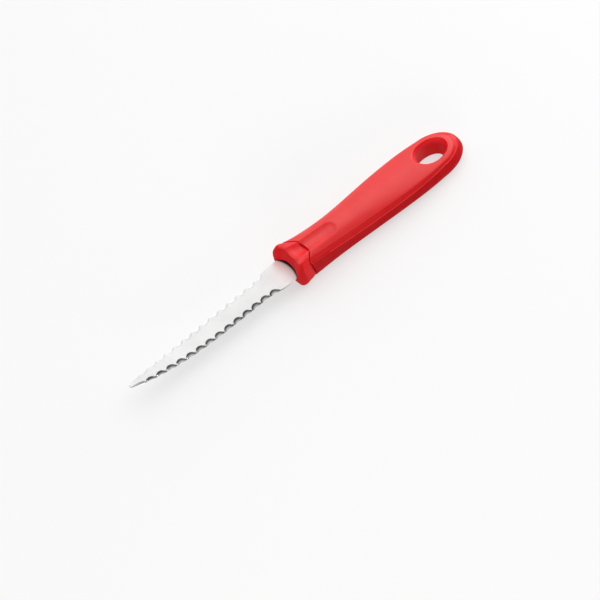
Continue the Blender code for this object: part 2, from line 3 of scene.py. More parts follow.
import bmesh
import bpy
from mathutils import Matrix, Vector


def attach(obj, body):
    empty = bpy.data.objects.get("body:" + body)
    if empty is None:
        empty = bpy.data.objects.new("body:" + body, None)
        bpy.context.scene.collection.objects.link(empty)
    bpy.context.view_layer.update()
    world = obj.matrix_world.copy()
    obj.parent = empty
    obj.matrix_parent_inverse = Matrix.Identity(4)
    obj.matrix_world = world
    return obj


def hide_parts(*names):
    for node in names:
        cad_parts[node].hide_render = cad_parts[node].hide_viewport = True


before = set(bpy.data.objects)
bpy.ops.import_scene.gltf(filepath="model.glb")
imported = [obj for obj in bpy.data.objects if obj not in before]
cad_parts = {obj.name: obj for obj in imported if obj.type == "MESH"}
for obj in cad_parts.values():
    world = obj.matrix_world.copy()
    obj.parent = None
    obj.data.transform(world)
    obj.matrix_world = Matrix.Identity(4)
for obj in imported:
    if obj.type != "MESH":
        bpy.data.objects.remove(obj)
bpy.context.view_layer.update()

MM = 0.001
BODY = "root"

# Blade: lengths run along the steel from the collar's mouth
BLADE_LENGTH = 105.2 * MM
BLADE_THICKNESS = 1.0 * MM
SHOULDER_HALF_WIDTH = 7.4 * MM
SHOULDER_LENGTH = 6.5 * MM
BODY_HALF_WIDTH = 5.85 * MM
TIP_HALF_WIDTH = 0.5 * MM
TAPER_START = 30.0 * MM
TAPER_POWER = 2.2
TAPER_FULLNESS = 0.65
BEND_START = 51.3 * MM
BEND_RADIUS = 198.0 * MM
FIRST_TOOTH = 10.6 * MM
PLAIN_TIP = 8.36 * MM
SCALLOP_COUNT = 14
SCALLOP_DEPTH = 2.33 * MM
GRIND_RUN = 2.0 * MM
HOLLOW_POWER = 2.0
TIP_BEVEL = 1.1 * MM
TIP_BEVEL_SHARE = 0.55
NARROW_BLADE = 4.2 * MM
TANG_LENGTH = 66.0 * MM
TANG_HALF_WIDTH = 4.5 * MM
TANG_HOLE_RADIUS = 2.1 * MM
SHOULDER_DEPTH = 3.0 * MM
POST_MARGIN = 14.4 * MM

# Handle lines
WAIST_X = 20.0 * MM
BELLY_X = 88.0 * MM
HOLE_X = 104.0 * MM
END_REACH = 20.3 * MM
FOOT_DEPTH = 10.0 * MM
WAIST_HALF_WIDTH = 7.5 * MM
BELLY_HALF_WIDTH = 10.7 * MM
HOLE_END_HALF_WIDTH = 9.9 * MM
FRONT_FLARE = 1.2 * MM
FRONT_FLARE_LENGTH = 14.0 * MM
FRONT_RISE = 0.55 * MM
FRONT_RISE_LENGTH = 8.0 * MM
RIDGE_LEVEL = 0.4 * MM
RIDGE_SWEEP = 7.4 * MM
RIDGE_SWEEP_LENGTH = 50.0 * MM
BAND_HEIGHT = 3.8 * MM
BAND_END_HEIGHT = 0.65 * MM
BAND_TAPER_START = 40.0 * MM
BAND_POWER = 1.6
BAND_LEAN = 0.32
DOME_HEIGHT = 3.42 * MM
DOME_FRONT_HEIGHT = 1.0 * MM
DOME_END_HEIGHT = 2.75 * MM
DOME_RUNOUT = 45.0 * MM
DOME_POWER = 2.15
DOME_END_POWER = 2.0
DOME_FRONT_POWER = 3.6
BULGE = 0.7 * MM
BULGE_FRONT = 1.6 * MM
BULGE_FRONT_LENGTH = 16.0 * MM
BULGE_END = 1.38 * MM
BULGE_END_START = 60.0 * MM
BELLY_POWER = 2.6
UNDERCUT_POWER = 1.25
WIDEST_LEVEL = -4.6 * MM
FOOT_HALF_WIDTH = 5.0 * MM
FOOT_END_HALF_WIDTH = 7.6 * MM
END_OVERHANG = 3.4 * MM
FOOT_SETBACK = 5.8 * MM
END_UPPER_POWER = 1.85
END_LOWER_POWER = 2.2

# Hanging hole
RIM_SHIFT = 1.0 * MM
RIM_HALF_LENGTH = 11.4 * MM
RIM_HALF_WIDTH = 7.1 * MM
THROAT_HALF_LENGTH = 9.6 * MM
THROAT_HALF_WIDTH = 5.9 * MM
FOOT_HOLE_HALF_LENGTH = 10.2 * MM
FOOT_HOLE_HALF_WIDTH = 5.3 * MM
FOOT_HOLE_ROUND = 0.6 * MM
WALL_CURVE = 2.13
RIM_ROUND = 0.35 * MM
RIM_FALL = 0.7
RIM_NEAR = 0.5

# Thumb recess
RECESS_LENGTH = 33.0 * MM
RECESS_END_RUN = 4.4 * MM
RECESS_DEPTH = 1.9 * MM
RECESS_HALF_WIDTH = 3.9 * MM
RECESS_FLARE = 1.8 * MM
RECESS_FLARE_LENGTH = 10.0 * MM
RECESS_SHIFT = -1.1 * MM
RECESS_POWER = 2.1

# Collar, its mouth and its spigot
SEAM_X = 6.7 * MM
SEAM_SLANT = 0.28
SEAM_SKEW = 0.22
TONGUE_LENGTH = 5.5 * MM
TONGUE_HALF_WIDTH = 8.3 * MM
TONGUE_POWER = 2.2
FRONT_SET = 1.4 * MM
FRONT_SLANT = 0.25
FRONT_LEVEL = 6.0 * MM
FRONT_MIDDLE = 2.1 * MM
FRONT_SCOOP_HALF_WIDTH = 8.5 * MM
FRONT_SCOOP_POWER = 4.0
LIP_RADIUS = 1.3 * MM
LIP_LENGTH = 2.6 * MM
LIP_SIDE_RADIUS = 3.2 * MM
LIP_SIDE_LENGTH = 4.4 * MM
LIP_SIDE_START = 0.45
MOUTH_RISE = 3.0 * MM
MOUTH_HALF_WIDTH = 6.3 * MM
MOUTH_DEPTH = 9.0 * MM
MOUTH_LEAD = 5.0
SPIGOT_END = 22.0 * MM
GROOVE_START = 16.4 * MM
GROOVE_END = 18.9 * MM
GROOVE_DEPTH = 1.5 * MM

# Shells and what is inside them
WALL = 2.2 * MM
HOLE_WALL = 9.6 * MM
POST_RADIUS = 3.0 * MM
PIN_HEIGHT = 2.6 * MM
BOSS_RADIUS = 3.3 * MM
CLEARANCE = 0.3 * MM

# Rounded edges, steps and gaps
PARTING_GAP = 0.03 * MM
PARTING_ROUND = 0.15 * MM
PARTING_STEP = 0.45 * MM
SEAM_ROUND = 0.3 * MM
SEAM_WIDEN = 0.9 * MM
COLLAR_SINK = 0.5 * MM
COLLAR_STEP = 0.35 * MM
COLLAR_STEP_RUN = 3.0 * MM
CREASE_ROUND = 1.0 * MM
CREASE_ROUND_SHARE = 0.42
CREASE_RAISE = 1.1 * MM
CREASE_INSET = 0.55 * MM
CREASE_END_INSET = 2.6 * MM

# Steel near the collar: painted light, paler over the last stretch before the collar where the collar's
# shade falls, and painted shade, dark inside the mouth
PAINTED_LIGHT_LENGTH = 9.0 * MM
PAINTED_LIGHT_STEEL = (0.98, 0.99, 0.985)
PAINTED_SHADE_STEEL = (0.07, 0.03, 0.028)
MOUTH_SHADE_START = 1.8 * MM
MOUTH_SHADE_RUN = 0.9 * MM
MOUTH_SHADE_BEND = 38.0

# Wear along the plastic's outer edges
WORN_RED = (0.98, 0.10, 0.09)
WEAR_START = 0.52
WEAR_FULL = 0.60
WEAR_LOW = 0.1
WEAR_HIGH = 0.5

# Surface detail: cells per metre, layers of detail, depth of the bumps and how strongly they show
STEEL_CLOUD = 90.0
STEEL_LINE_DEPTH = 0.002 * MM
STEEL_LINE_STRENGTH = 0.4
PLASTIC_CLOUD = 70.0
PLASTIC_PATCHES = 240.0
PLASTIC_GRAIN = 2600.0
PATCH_DEPTH = 0.01 * MM
PATCH_STRENGTH = 0.4
GRAIN_DEPTH = 0.012 * MM
GRAIN_STRENGTH = 0.5
LOW_DETAIL = 2.0
EVEN_DETAIL = 3.0
HIGH_DETAIL = 4.0
NOISE_LOW = 0.3
NOISE_HIGH = 0.7

# Steels: two colours, two limits of roughness, lines per metre along each axis, share of metal
LINES_ALONG = (50.0, 5000.0, 5000.0)
LINES_ACROSS = (5000.0, 300.0, 300.0)
STEELS = {
    "blade_steel": ((0.77, 0.77, 0.765), (0.83, 0.83, 0.825), 0.40, 0.48, LINES_ALONG, 0.2),
    # painted light: the far facets' copy of the steel, paler than the blade
    "facet_painted_light_steel": ((0.86, 0.86, 0.86), (0.92, 0.92, 0.92), 0.28, 0.38, LINES_ACROSS, 0.8),
    # painted shade: the near facets' copy of the steel, dark
    "facet_painted_shade_steel": ((0.27, 0.27, 0.27), (0.37, 0.37, 0.37), 0.28, 0.38, LINES_ACROSS, 1.0),
}

# Reds: two colours, two limits of roughness, gloss
# All reds are one plastic: collar_red and upper_red are its lit tops, and the others are copies made
# lighter or darker by area, as painted light and painted shade
REDS = {
    "collar_red": ((0.84, 0.012, 0.018), (0.88, 0.018, 0.024), 0.42, 0.54, 0.5),
    # painted shade: the collar's front face, darker and duller than its top
    "front_painted_shade_red": ((0.78, 0.008, 0.014), (0.82, 0.012, 0.018), 0.5, 0.6, 0.08),
    # painted light: the collar's flank, lighter than its top
    "flank_painted_light_red": ((0.95, 0.014, 0.020), (0.98, 0.020, 0.026), 0.46, 0.56, 0.12),
    "upper_red": ((0.81, 0.016, 0.018), (0.85, 0.022, 0.022), 0.42, 0.54, 0.66),
    # painted shade: the side band, darker and duller than the top
    "band_painted_shade_red": ((0.78, 0.010, 0.014), (0.82, 0.015, 0.018), 0.48, 0.58, 0.14),
    # painted light: the seam's groove, lighter than the collar's top
    "seam_painted_light_red": ((0.86, 0.020, 0.024), (0.90, 0.028, 0.032), 0.6, 0.7, 0.05),
    # painted shade: the lower half, darker than the top
    "lower_red": ((0.62, 0.006, 0.010), (0.66, 0.009, 0.013), 0.46, 0.56, 0.04),
    # painted highlight: a lighter line along the lower shell's ledge at the parting
    "ledge_painted_highlight_red": ((0.80, 0.022, 0.026), (0.84, 0.030, 0.032), 0.44, 0.54, 0.2),
    # painted light: the hanging hole's wall, lighter than the top
    "hole_painted_light_red": ((0.94, 0.022, 0.036), (0.97, 0.030, 0.042), 0.46, 0.56, 0.25),
}

# Places of the materials on each piece
# Blade slots: the near facets and the edge lands carry painted shade, the far facets and the tip's
# bevels painted light
FLAT_SLOT, PAINTED_SHADE_FACET_SLOT, PAINTED_LIGHT_FACET_SLOT = 0, 1, 2
# Collar slots: the front carries painted shade, the seam and the flank painted light
TOP_SLOT, FRONT_PAINTED_SHADE_SLOT, SEAM_PAINTED_LIGHT_SLOT, FLANK_PAINTED_LIGHT_SLOT = 0, 1, 2, 3
# Shell slots: the lower shell's main red is painted shade, the upper band painted shade, the lower ledge
# a painted highlight, the hole's wall painted light
SHELL_SLOT, PAINTED_SHADE_AND_HIGHLIGHT_SLOT, HOLE_PAINTED_LIGHT_SLOT = 0, 1, 2

# Sockets of the node that mixes two colours
MIX_SHARE, MIX_FIRST, MIX_SECOND, MIX_RESULT = 0, 6, 7, 2

# Floor: half its side, grey, roughness, and the glow that the camera and mirrors see
FLOOR_HALF = 15.0
FLOOR_GREY = (0.42, 0.42, 0.42, 1.0)
FLOOR_ROUGHNESS = 0.9
FLOOR_GLOW = 0.55

# Surround: its bright side, where the change starts and ends, and its two levels
SURROUND_TOWARDS = (0.2, 0.76, 0.6)
SURROUND_START = -0.05
SURROUND_END = 0.85
SURROUND_DIM = 0.14
SURROUND_BRIGHT = 0.85

# Lamps: place, width, height, watts
LAMPS = {
    "softbox": ((0.25, 0.16, 1.15), 1.5, 1.5, 6.8),
    "side": ((0.95, 0.12, 0.14), 0.6, 0.25, 4.4),
    "fill": ((-0.66, -0.96, 0.27), 0.9, 0.3, 5.5),
}

# Camera
CAMERA_AZIMUTH = math.radians(-44.30)
CAMERA_ELEVATION = math.radians(56.03)
CAMERA_DISTANCE = 1.2
CAMERA_RIGHT = 6.909 * MM
CAMERA_DOWN = 15.29 * MM
SENSOR_WIDTH = 36.0
LENS = 144.02
CLIP_START = 0.05
CLIP_END = 20.0

# Sizes that follow from others
TOOTH_PITCH = (BLADE_LENGTH - FIRST_TOOTH - PLAIN_TIP) / SCALLOP_COUNT
HALF_CHORD = TOOTH_PITCH / 2.0
SCALLOP_RADIUS = (HALF_CHORD ** 2 + SCALLOP_DEPTH ** 2) / (2.0 * SCALLOP_DEPTH)
HANDLE_LENGTH = HOLE_X + END_REACH
RIM_X = HOLE_X - RIM_SHIFT
CAVITY_END = RIM_X - RIM_HALF_LENGTH - HOLE_WALL
POST_PLACES = (SPIGOT_END + POST_MARGIN, TANG_LENGTH - POST_MARGIN)

# Counts of points
DOME_COUNT = 36
ROUND_COUNT = 5
UNDERCUT_COUNT = 8
BELLY_COUNT = 16
LEAD_COUNT = 14
RECESS_COUNT = 22
BARREL_COUNT = 48
HOLE_COUNT = 20
FAN_COUNT = 28
WALL_COUNT = 8
RIM_ROWS = 3
SHOULDER_COUNT = 4
NECK_COUNT = 8
SCALLOP_SIDE_COUNT = 10
TIP_COUNT = 12
HOLLOW_COUNT = 4
CAVITY_COUNT = 7
FACE_COUNT = 8
LIP_COUNT = 7
SKIN_COUNT = 13
FRONT_RINGS = 9
FLANK_RINGS = 14
TURN_COUNT = 32
TOP_COLUMNS = DOME_COUNT + 2
UPPER_LAST = DOME_COUNT + ROUND_COUNT + 1
FOOT_BEFORE_LAST = UNDERCUT_COUNT + BELLY_COUNT
WHOLE_LAST = UPPER_LAST + FOOT_BEFORE_LAST + 1

# Angle from which an edge stays sharp, and the distance at which two corners are one
SHARP_ANGLE = math.radians(35)
TOUCH = 0.0002 * MM


def share(value, start, end):
    """How far value lies from start to end, held between 0 and 1."""
    return min(1.0, max(0.0, (value - start) / (end - start)))


def ease(part):
    """Smooth step from 0 to 1 along half a cosine."""
    return 0.5 - 0.5 * math.cos(math.pi * part)


def mix(first, second, part):
    """Value part of the way from first to second."""
    return first + (second - first) * part


def parts(count):
    """Even steps from 0 to 1."""
    return [i / count for i in range(count + 1)]


def quarter_turns(count):
    """Even steps of a quarter turn, without its start."""
    return [0.5 * math.pi * i / count for i in range(1, count + 1)]


def corner_arc(first, corner, last):
    """Points of a soft curve that replaces a corner."""
    return [first.lerp(corner, part).lerp(corner.lerp(last, part), part) for part in parts(ROUND_COUNT)]


def rounded(before, corner, after, radius):
    """Soft curve at a corner, from radius before it to radius after it."""
    first = corner + (before - corner).normalized() * radius
    last = corner + (after - corner).normalized() * radius
    return corner_arc(first, corner, last)


def add_object(name, data):
    """New object of the scene."""
    item = bpy.data.objects.new(name, data)
    bpy.context.scene.collection.objects.link(item)
    return item


class Surface:
    """Collects faces by corner position, so that equal corners become one vertex."""

    def __init__(self):
        self.mesh = bmesh.new()
        self.corners = {}

    def vertex(self, point):
        key = tuple(round(value / TOUCH) for value in point)
        if key not in self.corners:
            self.corners[key] = self.mesh.verts.new(point)
        return self.corners[key]

    def face(self, points, slot=0):
        corners = []
        for point in points:
            vertex = self.vertex(point)
            if vertex not in corners:
                corners.append(vertex)
        if len(corners) > 2:
            self.mesh.faces.new(corners).material_index = slot

    def strip(self, first, second, slots=None):
        """Faces between two lines of points with equal counts."""
        for i in range(len(first) - 1):
            slot = slots[i] if slots else 0
            self.face((first[i], second[i], second[i + 1], first[i + 1]), slot)

    def loop_strip(self, first, second, slots=None):
        """Faces between two closed rings of points with equal counts."""
        self.strip(list(first) + [first[0]], list(second) + [second[0]], slots)

    def cap(self, points, middle, slot=0):
        """Fan of faces that closes a ring round a middle point."""
        for first, second in zip(points, points[1:] + points[:1]):
            self.face((middle, first, second), slot)

    def finish(self, name, materials):
        bmesh.ops.triangulate(self.mesh, faces=self.mesh.faces)
        bmesh.ops.recalc_face_normals(self.mesh, faces=self.mesh.faces)
        data = bpy.data.meshes.new(name)
        self.mesh.to_mesh(data)
        self.mesh.free()
        for material in materials:
            data.materials.append(material)
        return add_object(name, data)


def closed(name, material, rings):
    """Solid between rings of points, with a face at each end."""
    surface = Surface()
    for first, second in zip(rings, rings[1:]):
        surface.loop_strip(first, second)
    surface.face(rings[0])
    surface.face(rings[-1])
    return surface.finish(name, [material])


def carve(item, others):
    """Joins or cuts helper shapes, given as (shape, operation), and removes them."""
    for other, operation in others:
        step = item.modifiers.new(other.name, "BOOLEAN")
        step.operation = operation
        step.solver = "EXACT"
        step.object = other
    bpy.context.view_layer.update()
    graph = bpy.context.evaluated_depsgraph_get()
    data = bpy.data.meshes.new_from_object(item.evaluated_get(graph), depsgraph=graph)
    item.modifiers.clear()
    old = item.data
    item.data = data
    data.name = item.name
    bpy.data.meshes.remove(old)
    for other, operation in others:
        shape = other.data
        bpy.data.objects.remove(other)
        bpy.data.meshes.remove(shape)


def turned(name, material, outline, place):
    """Closed solid turned round z at a place, from (radius, height) pairs in order."""
    rings = []
    for radius, height in outline:
        circle = []
        for i in range(TURN_COUNT):
            turn = 2.0 * math.pi * i / TURN_COUNT
            circle.append(place + Vector((radius * math.cos(turn), radius * math.sin(turn), height)))
        rings.append(circle)
    return closed(name, material, rings)


def block(name, material, low, high):
    """Closed box between two corners."""
    rings = []
    for x in (low[0], high[0]):
        corners = ((low[1], low[2]), (high[1], low[2]), (high[1], high[2]), (low[1], high[2]))
        rings.append([Vector((x, y, z)) for y, z in corners])
    return closed(name, material, rings)


# Blade


def bent(run, side, height):
    """Point at a run along the steel, with the blade's outer part bent upwards."""
    turn = max(0.0, run - BEND_START) / BEND_RADIUS
    flat = min(run, BEND_START)
    reach = (BEND_RADIUS - height) * math.sin(turn)
    lift = BEND_RADIUS - (BEND_RADIUS - height) * math.cos(turn)
    return Vector((-flat - reach, side, lift if turn > 0.0 else height))


def knife_origin():
    """Where the middle of the collar's mouth lies in the frame."""
    tip = bent(BLADE_LENGTH, 0.0, -BLADE_THICKNESS)
    return Vector((-(HANDLE_LENGTH + tip.x) / 2.0, 0.0, FOOT_DEPTH))


def tooth_line(run):
    """Half width over the tooth points."""
    taper = share(run, TAPER_START, BLADE_LENGTH) ** TAPER_POWER
    body = mix(TIP_HALF_WIDTH, BODY_HALF_WIDTH, (1.0 - taper) ** TAPER_FULLNESS)
    narrowing = ease(share(run, SHOULDER_LENGTH, FIRST_TOOTH + TOOTH_PITCH))
    return body + (SHOULDER_HALF_WIDTH - BODY_HALF_WIDTH) * (1.0 - narrowing)


def scallop_scale(middle):
    """Scale of the scallop round a middle, smaller where the blade is narrow."""
    return min(1.0, tooth_line(middle) / NARROW_BLADE)


def scallop_depth(run, middle):
    """Depth of a scallop in the upper face, below the line of its two tooth points."""
    across = min(abs(run - middle), HALF_CHORD)
    arc = math.sqrt(SCALLOP_RADIUS ** 2 - across ** 2) - math.sqrt(SCALLOP_RADIUS ** 2 - HALF_CHORD ** 2)
    return arc * scallop_scale(middle)


def edge_profile(run, outer, cut, slope_run):
    """Upper corner, hollow grind, ground edge and lower corner, as (run, side, height)."""
    ground = outer - max(0.0, cut - slope_run)
    depth = BLADE_THICKNESS * min(1.0, cut / slope_run)
    points = []
    for part in parts(HOLLOW_COUNT):
        height = -depth * (1.0 - (1.0 - part) ** HOLLOW_POWER)
        points.append((run, mix(outer - cut, ground, part), height))
    return points + [(run, ground, -BLADE_THICKNESS)]


def plain_profile(run, half_width):
    """Profile with a square edge."""
    return edge_profile(run, half_width, 0.0, GRIND_RUN)


def blade_profiles():
    """Edge profiles from the end of the tang to the tip."""
    profiles = [
        plain_profile(-TANG_LENGTH, TANG_HALF_WIDTH - BLADE_THICKNESS),
        plain_profile(BLADE_THICKNESS - TANG_LENGTH, TANG_HALF_WIDTH),
        plain_profile(-SHOULDER_DEPTH - BLADE_THICKNESS, TANG_HALF_WIDTH),
        plain_profile(-SHOULDER_DEPTH, SHOULDER_HALF_WIDTH),
    ]
    for i in range(SHOULDER_COUNT + 1):
        profiles.append(plain_profile(SHOULDER_LENGTH * i / SHOULDER_COUNT, SHOULDER_HALF_WIDTH))
    for part in parts(NECK_COUNT)[1:-1]:
        run = mix(SHOULDER_LENGTH, FIRST_TOOTH, part)
        profiles.append(plain_profile(run, tooth_line(run)))
    widest_turn = math.asin(HALF_CHORD / SCALLOP_RADIUS)
    for i in range(SCALLOP_COUNT):
        middle = FIRST_TOOTH + TOOTH_PITCH * (i + 0.5)
        first = tooth_line(middle - HALF_CHORD)
        second = tooth_line(middle + HALF_CHORD)
        slope_run = GRIND_RUN * scallop_scale(middle)
        for j in range(-SCALLOP_SIDE_COUNT, SCALLOP_SIDE_COUNT):
            run = middle + SCALLOP_RADIUS * math.sin(widest_turn * j / SCALLOP_SIDE_COUNT)
            outer = mix(first, second, share(run, middle - HALF_CHORD, middle + HALF_CHORD))
            profiles.append(edge_profile(run, outer, scallop_depth(run, middle), slope_run))
    last_tooth = FIRST_TOOTH + TOOTH_PITCH * SCALLOP_COUNT
    profiles.append(plain_profile(last_tooth, tooth_line(last_tooth)))
    for part in parts(TIP_COUNT)[1:]:
        run = mix(last_tooth, BLADE_LENGTH, part)
        outer = tooth_line(run)
        bevel = min(TIP_BEVEL, TIP_BEVEL_SHARE * outer)
        profiles.append(edge_profile(run, outer, bevel, bevel))
    return profiles


def make_blade(steel, ground, facet_painted_light_steel):
    """Blade and tang in one piece of steel, with two holes for the pins."""
    surface = Surface()
    rings = []
    for profile in blade_profiles():
        far = [bent(run, side, height) for run, side, height in profile]
        near = [bent(run, -side, height) for run, side, height in reversed(profile)]
        rings.append(far + near)
    # the far facets get the pale steel, painted light; the near facets and the lands get the dark steel,
    # painted shade
    far_slots = [PAINTED_LIGHT_FACET_SLOT] * HOLLOW_COUNT
    below_slots = [PAINTED_SHADE_FACET_SLOT, FLAT_SLOT, PAINTED_SHADE_FACET_SLOT]
    slots = far_slots + below_slots + [PAINTED_SHADE_FACET_SLOT] * HOLLOW_COUNT + [FLAT_SLOT]
    tip_slots = far_slots + below_slots + far_slots + [FLAT_SLOT]
    for i, (first, second) in enumerate(zip(rings, rings[1:])):
        surface.loop_strip(first, second, slots if i < len(rings) - TIP_COUNT - 1 else tip_slots)
    surface.face(rings[0])
    surface.face(rings[-1])
    blade = surface.finish("knife_blade", [steel, ground, facet_painted_light_steel])
    outline = [(TANG_HOLE_RADIUS, BLADE_THICKNESS), (TANG_HOLE_RADIUS, -2.0 * BLADE_THICKNESS)]
    holes = []
    for i, place in enumerate(POST_PLACES):
        holes.append((turned(f"tang_hole_{i}", steel, outline, Vector((place, 0.0, 0.0))), "DIFFERENCE"))
    carve(blade, holes)
    return blade


# Handle section


def ridge_height(x):
    """Height of the parting ridge, which sweeps up towards the collar."""
    return RIDGE_LEVEL + RIDGE_SWEEP * (1.0 - share(x, 0.0, RIDGE_SWEEP_LENGTH)) ** 2


def end_share(x):
    """How far x lies along the side band's change towards the handle's end."""
    return share(x, BAND_TAPER_START, HOLE_X) ** BAND_POWER


def band_height(x):
    """Height of the flat side band between the ridge and the crease."""
    lip = FRONT_RISE * (1.0 - share(x, 0.0, FRONT_RISE_LENGTH)) ** 2
    return lip + mix(BAND_HEIGHT, BAND_END_HEIGHT + CREASE_RAISE, end_share(x))


def crease_half_width(x):
    """Half width at the crease where the dome meets the side band."""
    width = mix(WAIST_HALF_WIDTH, BELLY_HALF_WIDTH, ease(share(x, WAIST_X, BELLY_X)))
    width += FRONT_FLARE * (1.0 - share(x, 0.0, FRONT_FLARE_LENGTH)) ** 2
    width -= CREASE_INSET * end_share(x)
    return width + (HOLE_END_HALF_WIDTH - BELLY_HALF_WIDTH) * share(x, BELLY_X, HOLE_X) ** 2


def dome_height(x):
    """Height of the top line above the crease."""
    height = mix(DOME_FRONT_HEIGHT, DOME_HEIGHT, 1.0 - (1.0 - share(x, 0.0, DOME_RUNOUT)) ** 2)
    height -= CREASE_RAISE * end_share(x)
    return height + (DOME_END_HEIGHT - DOME_HEIGHT) * share(x, BULGE_END_START, HOLE_X)


def bulge(x):
    """How far the lower half stands out beyond the ridge."""
    front = BULGE_FRONT * (1.0 - share(x, 0.0, BULGE_FRONT_LENGTH)) ** 2
    return BULGE + front + BULGE_END * share(x, BULGE_END_START, HOLE_X) ** 2


def dome_power(x):
    """Fullness of the dome, flatter on top towards the collar and rounder at the hole."""
    front = (DOME_FRONT_POWER - DOME_POWER) * (1.0 - share(x, 0.0, BULGE_END_START))
    return DOME_POWER + front + (DOME_END_POWER - DOME_POWER) * share(x, BULGE_END_START, HOLE_X)


def recess_share(x, y):
    """Depth of the dished thumb recess in shares, with a rounded end towards the belly."""
    along = max(0.0, x - (RECESS_LENGTH - RECESS_END_RUN)) / RECESS_END_RUN
    half_width = RECESS_HALF_WIDTH + RECESS_FLARE * (1.0 - share(x, 0.0, RECESS_FLARE_LENGTH)) ** 2
    rim = math.hypot(along, (y - RECESS_SHIFT) / half_width)
    return max(0.0, 1.0 - rim ** RECESS_POWER)


def dished(point):
    """Point of the handle's top, lowered into the thumb recess."""
    return point - Vector((0.0, 0.0, RECESS_DEPTH * recess_share(point.x, point.y)))


class Section:
    """Half section of the handle at x, or one that lies inset inside its wall.

    Its points are (half width, reach past the hole's middle at the round end, height).
    """

    def __init__(self, x, inset=0.0, step=0.0, outer=False):
        self.x = x
        self.inset = inset
        self.hollow = inset > 0.0 and not outer
        self.ridge = ridge_height(x)
        self.band = band_height(x)
        self.lean = BAND_LEAN * self.band + (CREASE_INSET - BAND_LEAN * CREASE_RAISE) * end_share(x)
        self.crease_width = crease_half_width(x) - inset
        self.widest_reach = END_REACH - inset
        self.ridge_reach = self.widest_reach - END_OVERHANG
        self.crease_reach = self.ridge_reach - self.lean - CREASE_END_INSET
        self.crease = self.ridge + self.band - inset / 2.0
        self.dome = dome_height(x) - inset / 2.0
        self.step = step
        if self.hollow:
            self.dome = max(0.0, self.dome - RECESS_DEPTH * recess_share(x, RECESS_SHIFT))

    def dome_point(self, part):
        height = self.crease + self.dome * (1.0 - part ** dome_power(self.x))
        return Vector((part * self.crease_width, part * self.crease_reach, height))

    def crease_point(self):
        return Vector((self.crease_width, self.crease_reach, self.crease))

    def ridge_point(self):
        return Vector((self.crease_width + self.lean, self.ridge_reach, self.ridge))

    def upper(self, rim_share=0.0):
        """Points from the top line, or from the hole's rim, to the ridge."""
        crease = self.crease_point()
        ridge = self.ridge_point()
        flank = ridge - crease
        radius = min(CREASE_ROUND, CREASE_ROUND_SHARE * math.hypot(flank.x, flank.z))
        slope = math.hypot(self.crease_width, dome_power(self.x) * self.dome)
        last = 1.0 - radius / slope
        points = [self.dome_point(mix(rim_share, last, part)) for part in parts(DOME_COUNT)[:-1]]
        points += corner_arc(self.dome_point(last), crease, crease + flank.normalized() * radius)
        return points + [ridge]

    def lower(self, rim=(0.0, 0.0)):
        """Points from the ridge to the bottom line, or to the hole's rim."""
        ridge_width = self.crease_width + self.lean
        widest_width = ridge_width + bulge(self.x)
        points = []
        for part in parts(UNDERCUT_COUNT):
            round_part = 1.0 - (1.0 - part) ** UNDERCUT_POWER
            width = mix(ridge_width + self.step, widest_width, round_part)
            reach = mix(self.ridge_reach + self.step, self.widest_reach, round_part)
            points.append(Vector((width, reach, mix(self.ridge, WIDEST_LEVEL, part))))
        foot_width = mix(FOOT_HALF_WIDTH, FOOT_END_HALF_WIDTH, share(self.x, BULGE_END_START, HOLE_X))
        foot_width -= self.inset / 2.0
        foot_reach = self.widest_reach - FOOT_SETBACK
        floor = self.inset - FOOT_DEPTH
        for i in range(1, BELLY_COUNT + 1):
            turn = 0.5 * math.pi * i / BELLY_COUNT
            out = math.cos(turn) ** (2.0 / BELLY_POWER) if i < BELLY_COUNT else 0.0
            down = math.sin(turn) ** (2.0 / BELLY_POWER)
            width = mix(foot_width, widest_width, out)
            reach = mix(foot_reach, self.widest_reach, out)
            points.append(Vector((width, reach, mix(WIDEST_LEVEL, floor, down))))
        return points + [Vector((*rim, floor))]

    def whole(self):
        """Points of the whole half section, with the ridge once."""
        return self.upper() + self.lower()[1:]


def end_power(column, upper):
    """Fullness of the handle's round end on one line of the section."""
    if upper:
        return END_UPPER_POWER
    return mix(END_UPPER_POWER, END_LOWER_POWER, share(column, 0, UNDERCUT_COUNT))


def seam_x(width, height, side):
    """Place of the seam between collar and shells at a half width and height."""
    ridge = ridge_height(SEAM_X)
    band = band_height(SEAM_X)
    base = SEAM_X - SEAM_SKEW * side * width
    tongue = TONGUE_LENGTH * (1.0 - min(1.0, width / TONGUE_HALF_WIDTH) ** TONGUE_POWER)
    if height >= ridge:
        return base + tongue * share(height, ridge, ridge + band)
    return base + SEAM_SLANT * (ridge - height)


def ring(points_at):
    """Closed ring of points round the handle from a function of (column, side)."""
    right = [points_at(k, 1.0) for k in range(WHOLE_LAST + 1)]
    left = [points_at(k, -1.0) for k in range(WHOLE_LAST + 1)]
    return right + left[-2:0:-1]


def section_ring(x, inset):
    """Ring of a whole section at one place."""
    points = Section(x, inset).whole()
    return ring(lambda k, side: Vector((x, side * points[k].x, points[k].z)))


def surface_point(column, side, x, inset=0.0, outer=False):
    """Point of the handle's surface, or of one inset from it, on one line of the section."""
    section = Section(x, inset, outer=outer)
    point = section.whole()[column]
    spot = Vector((x, side * point.x, point.z))
    return dished(spot) if column < UPPER_LAST and not section.hollow else spot


# Collar


def front_x(side, height):
    """Place of the collar's front face, scooped out between two lobes that lean back below."""
    lobe = FRONT_SLANT * max(0.0, FRONT_LEVEL - height) - FRONT_SET
    scoop = max(0.0, 1.0 - (side / FRONT_SCOOP_HALF_WIDTH) ** FRONT_SCOOP_POWER)
    return lobe + max(0.0, FRONT_MIDDLE - lobe) * scoop


def sink(column, spot, seam):
    """How far the collar's recess lies below the handle's, deepest at the seam."""
    if column > DOME_COUNT:
        return 0.0
    return COLLAR_SINK * ease(share(spot.x, 0.0, seam)) * recess_share(spot.x, spot.y)


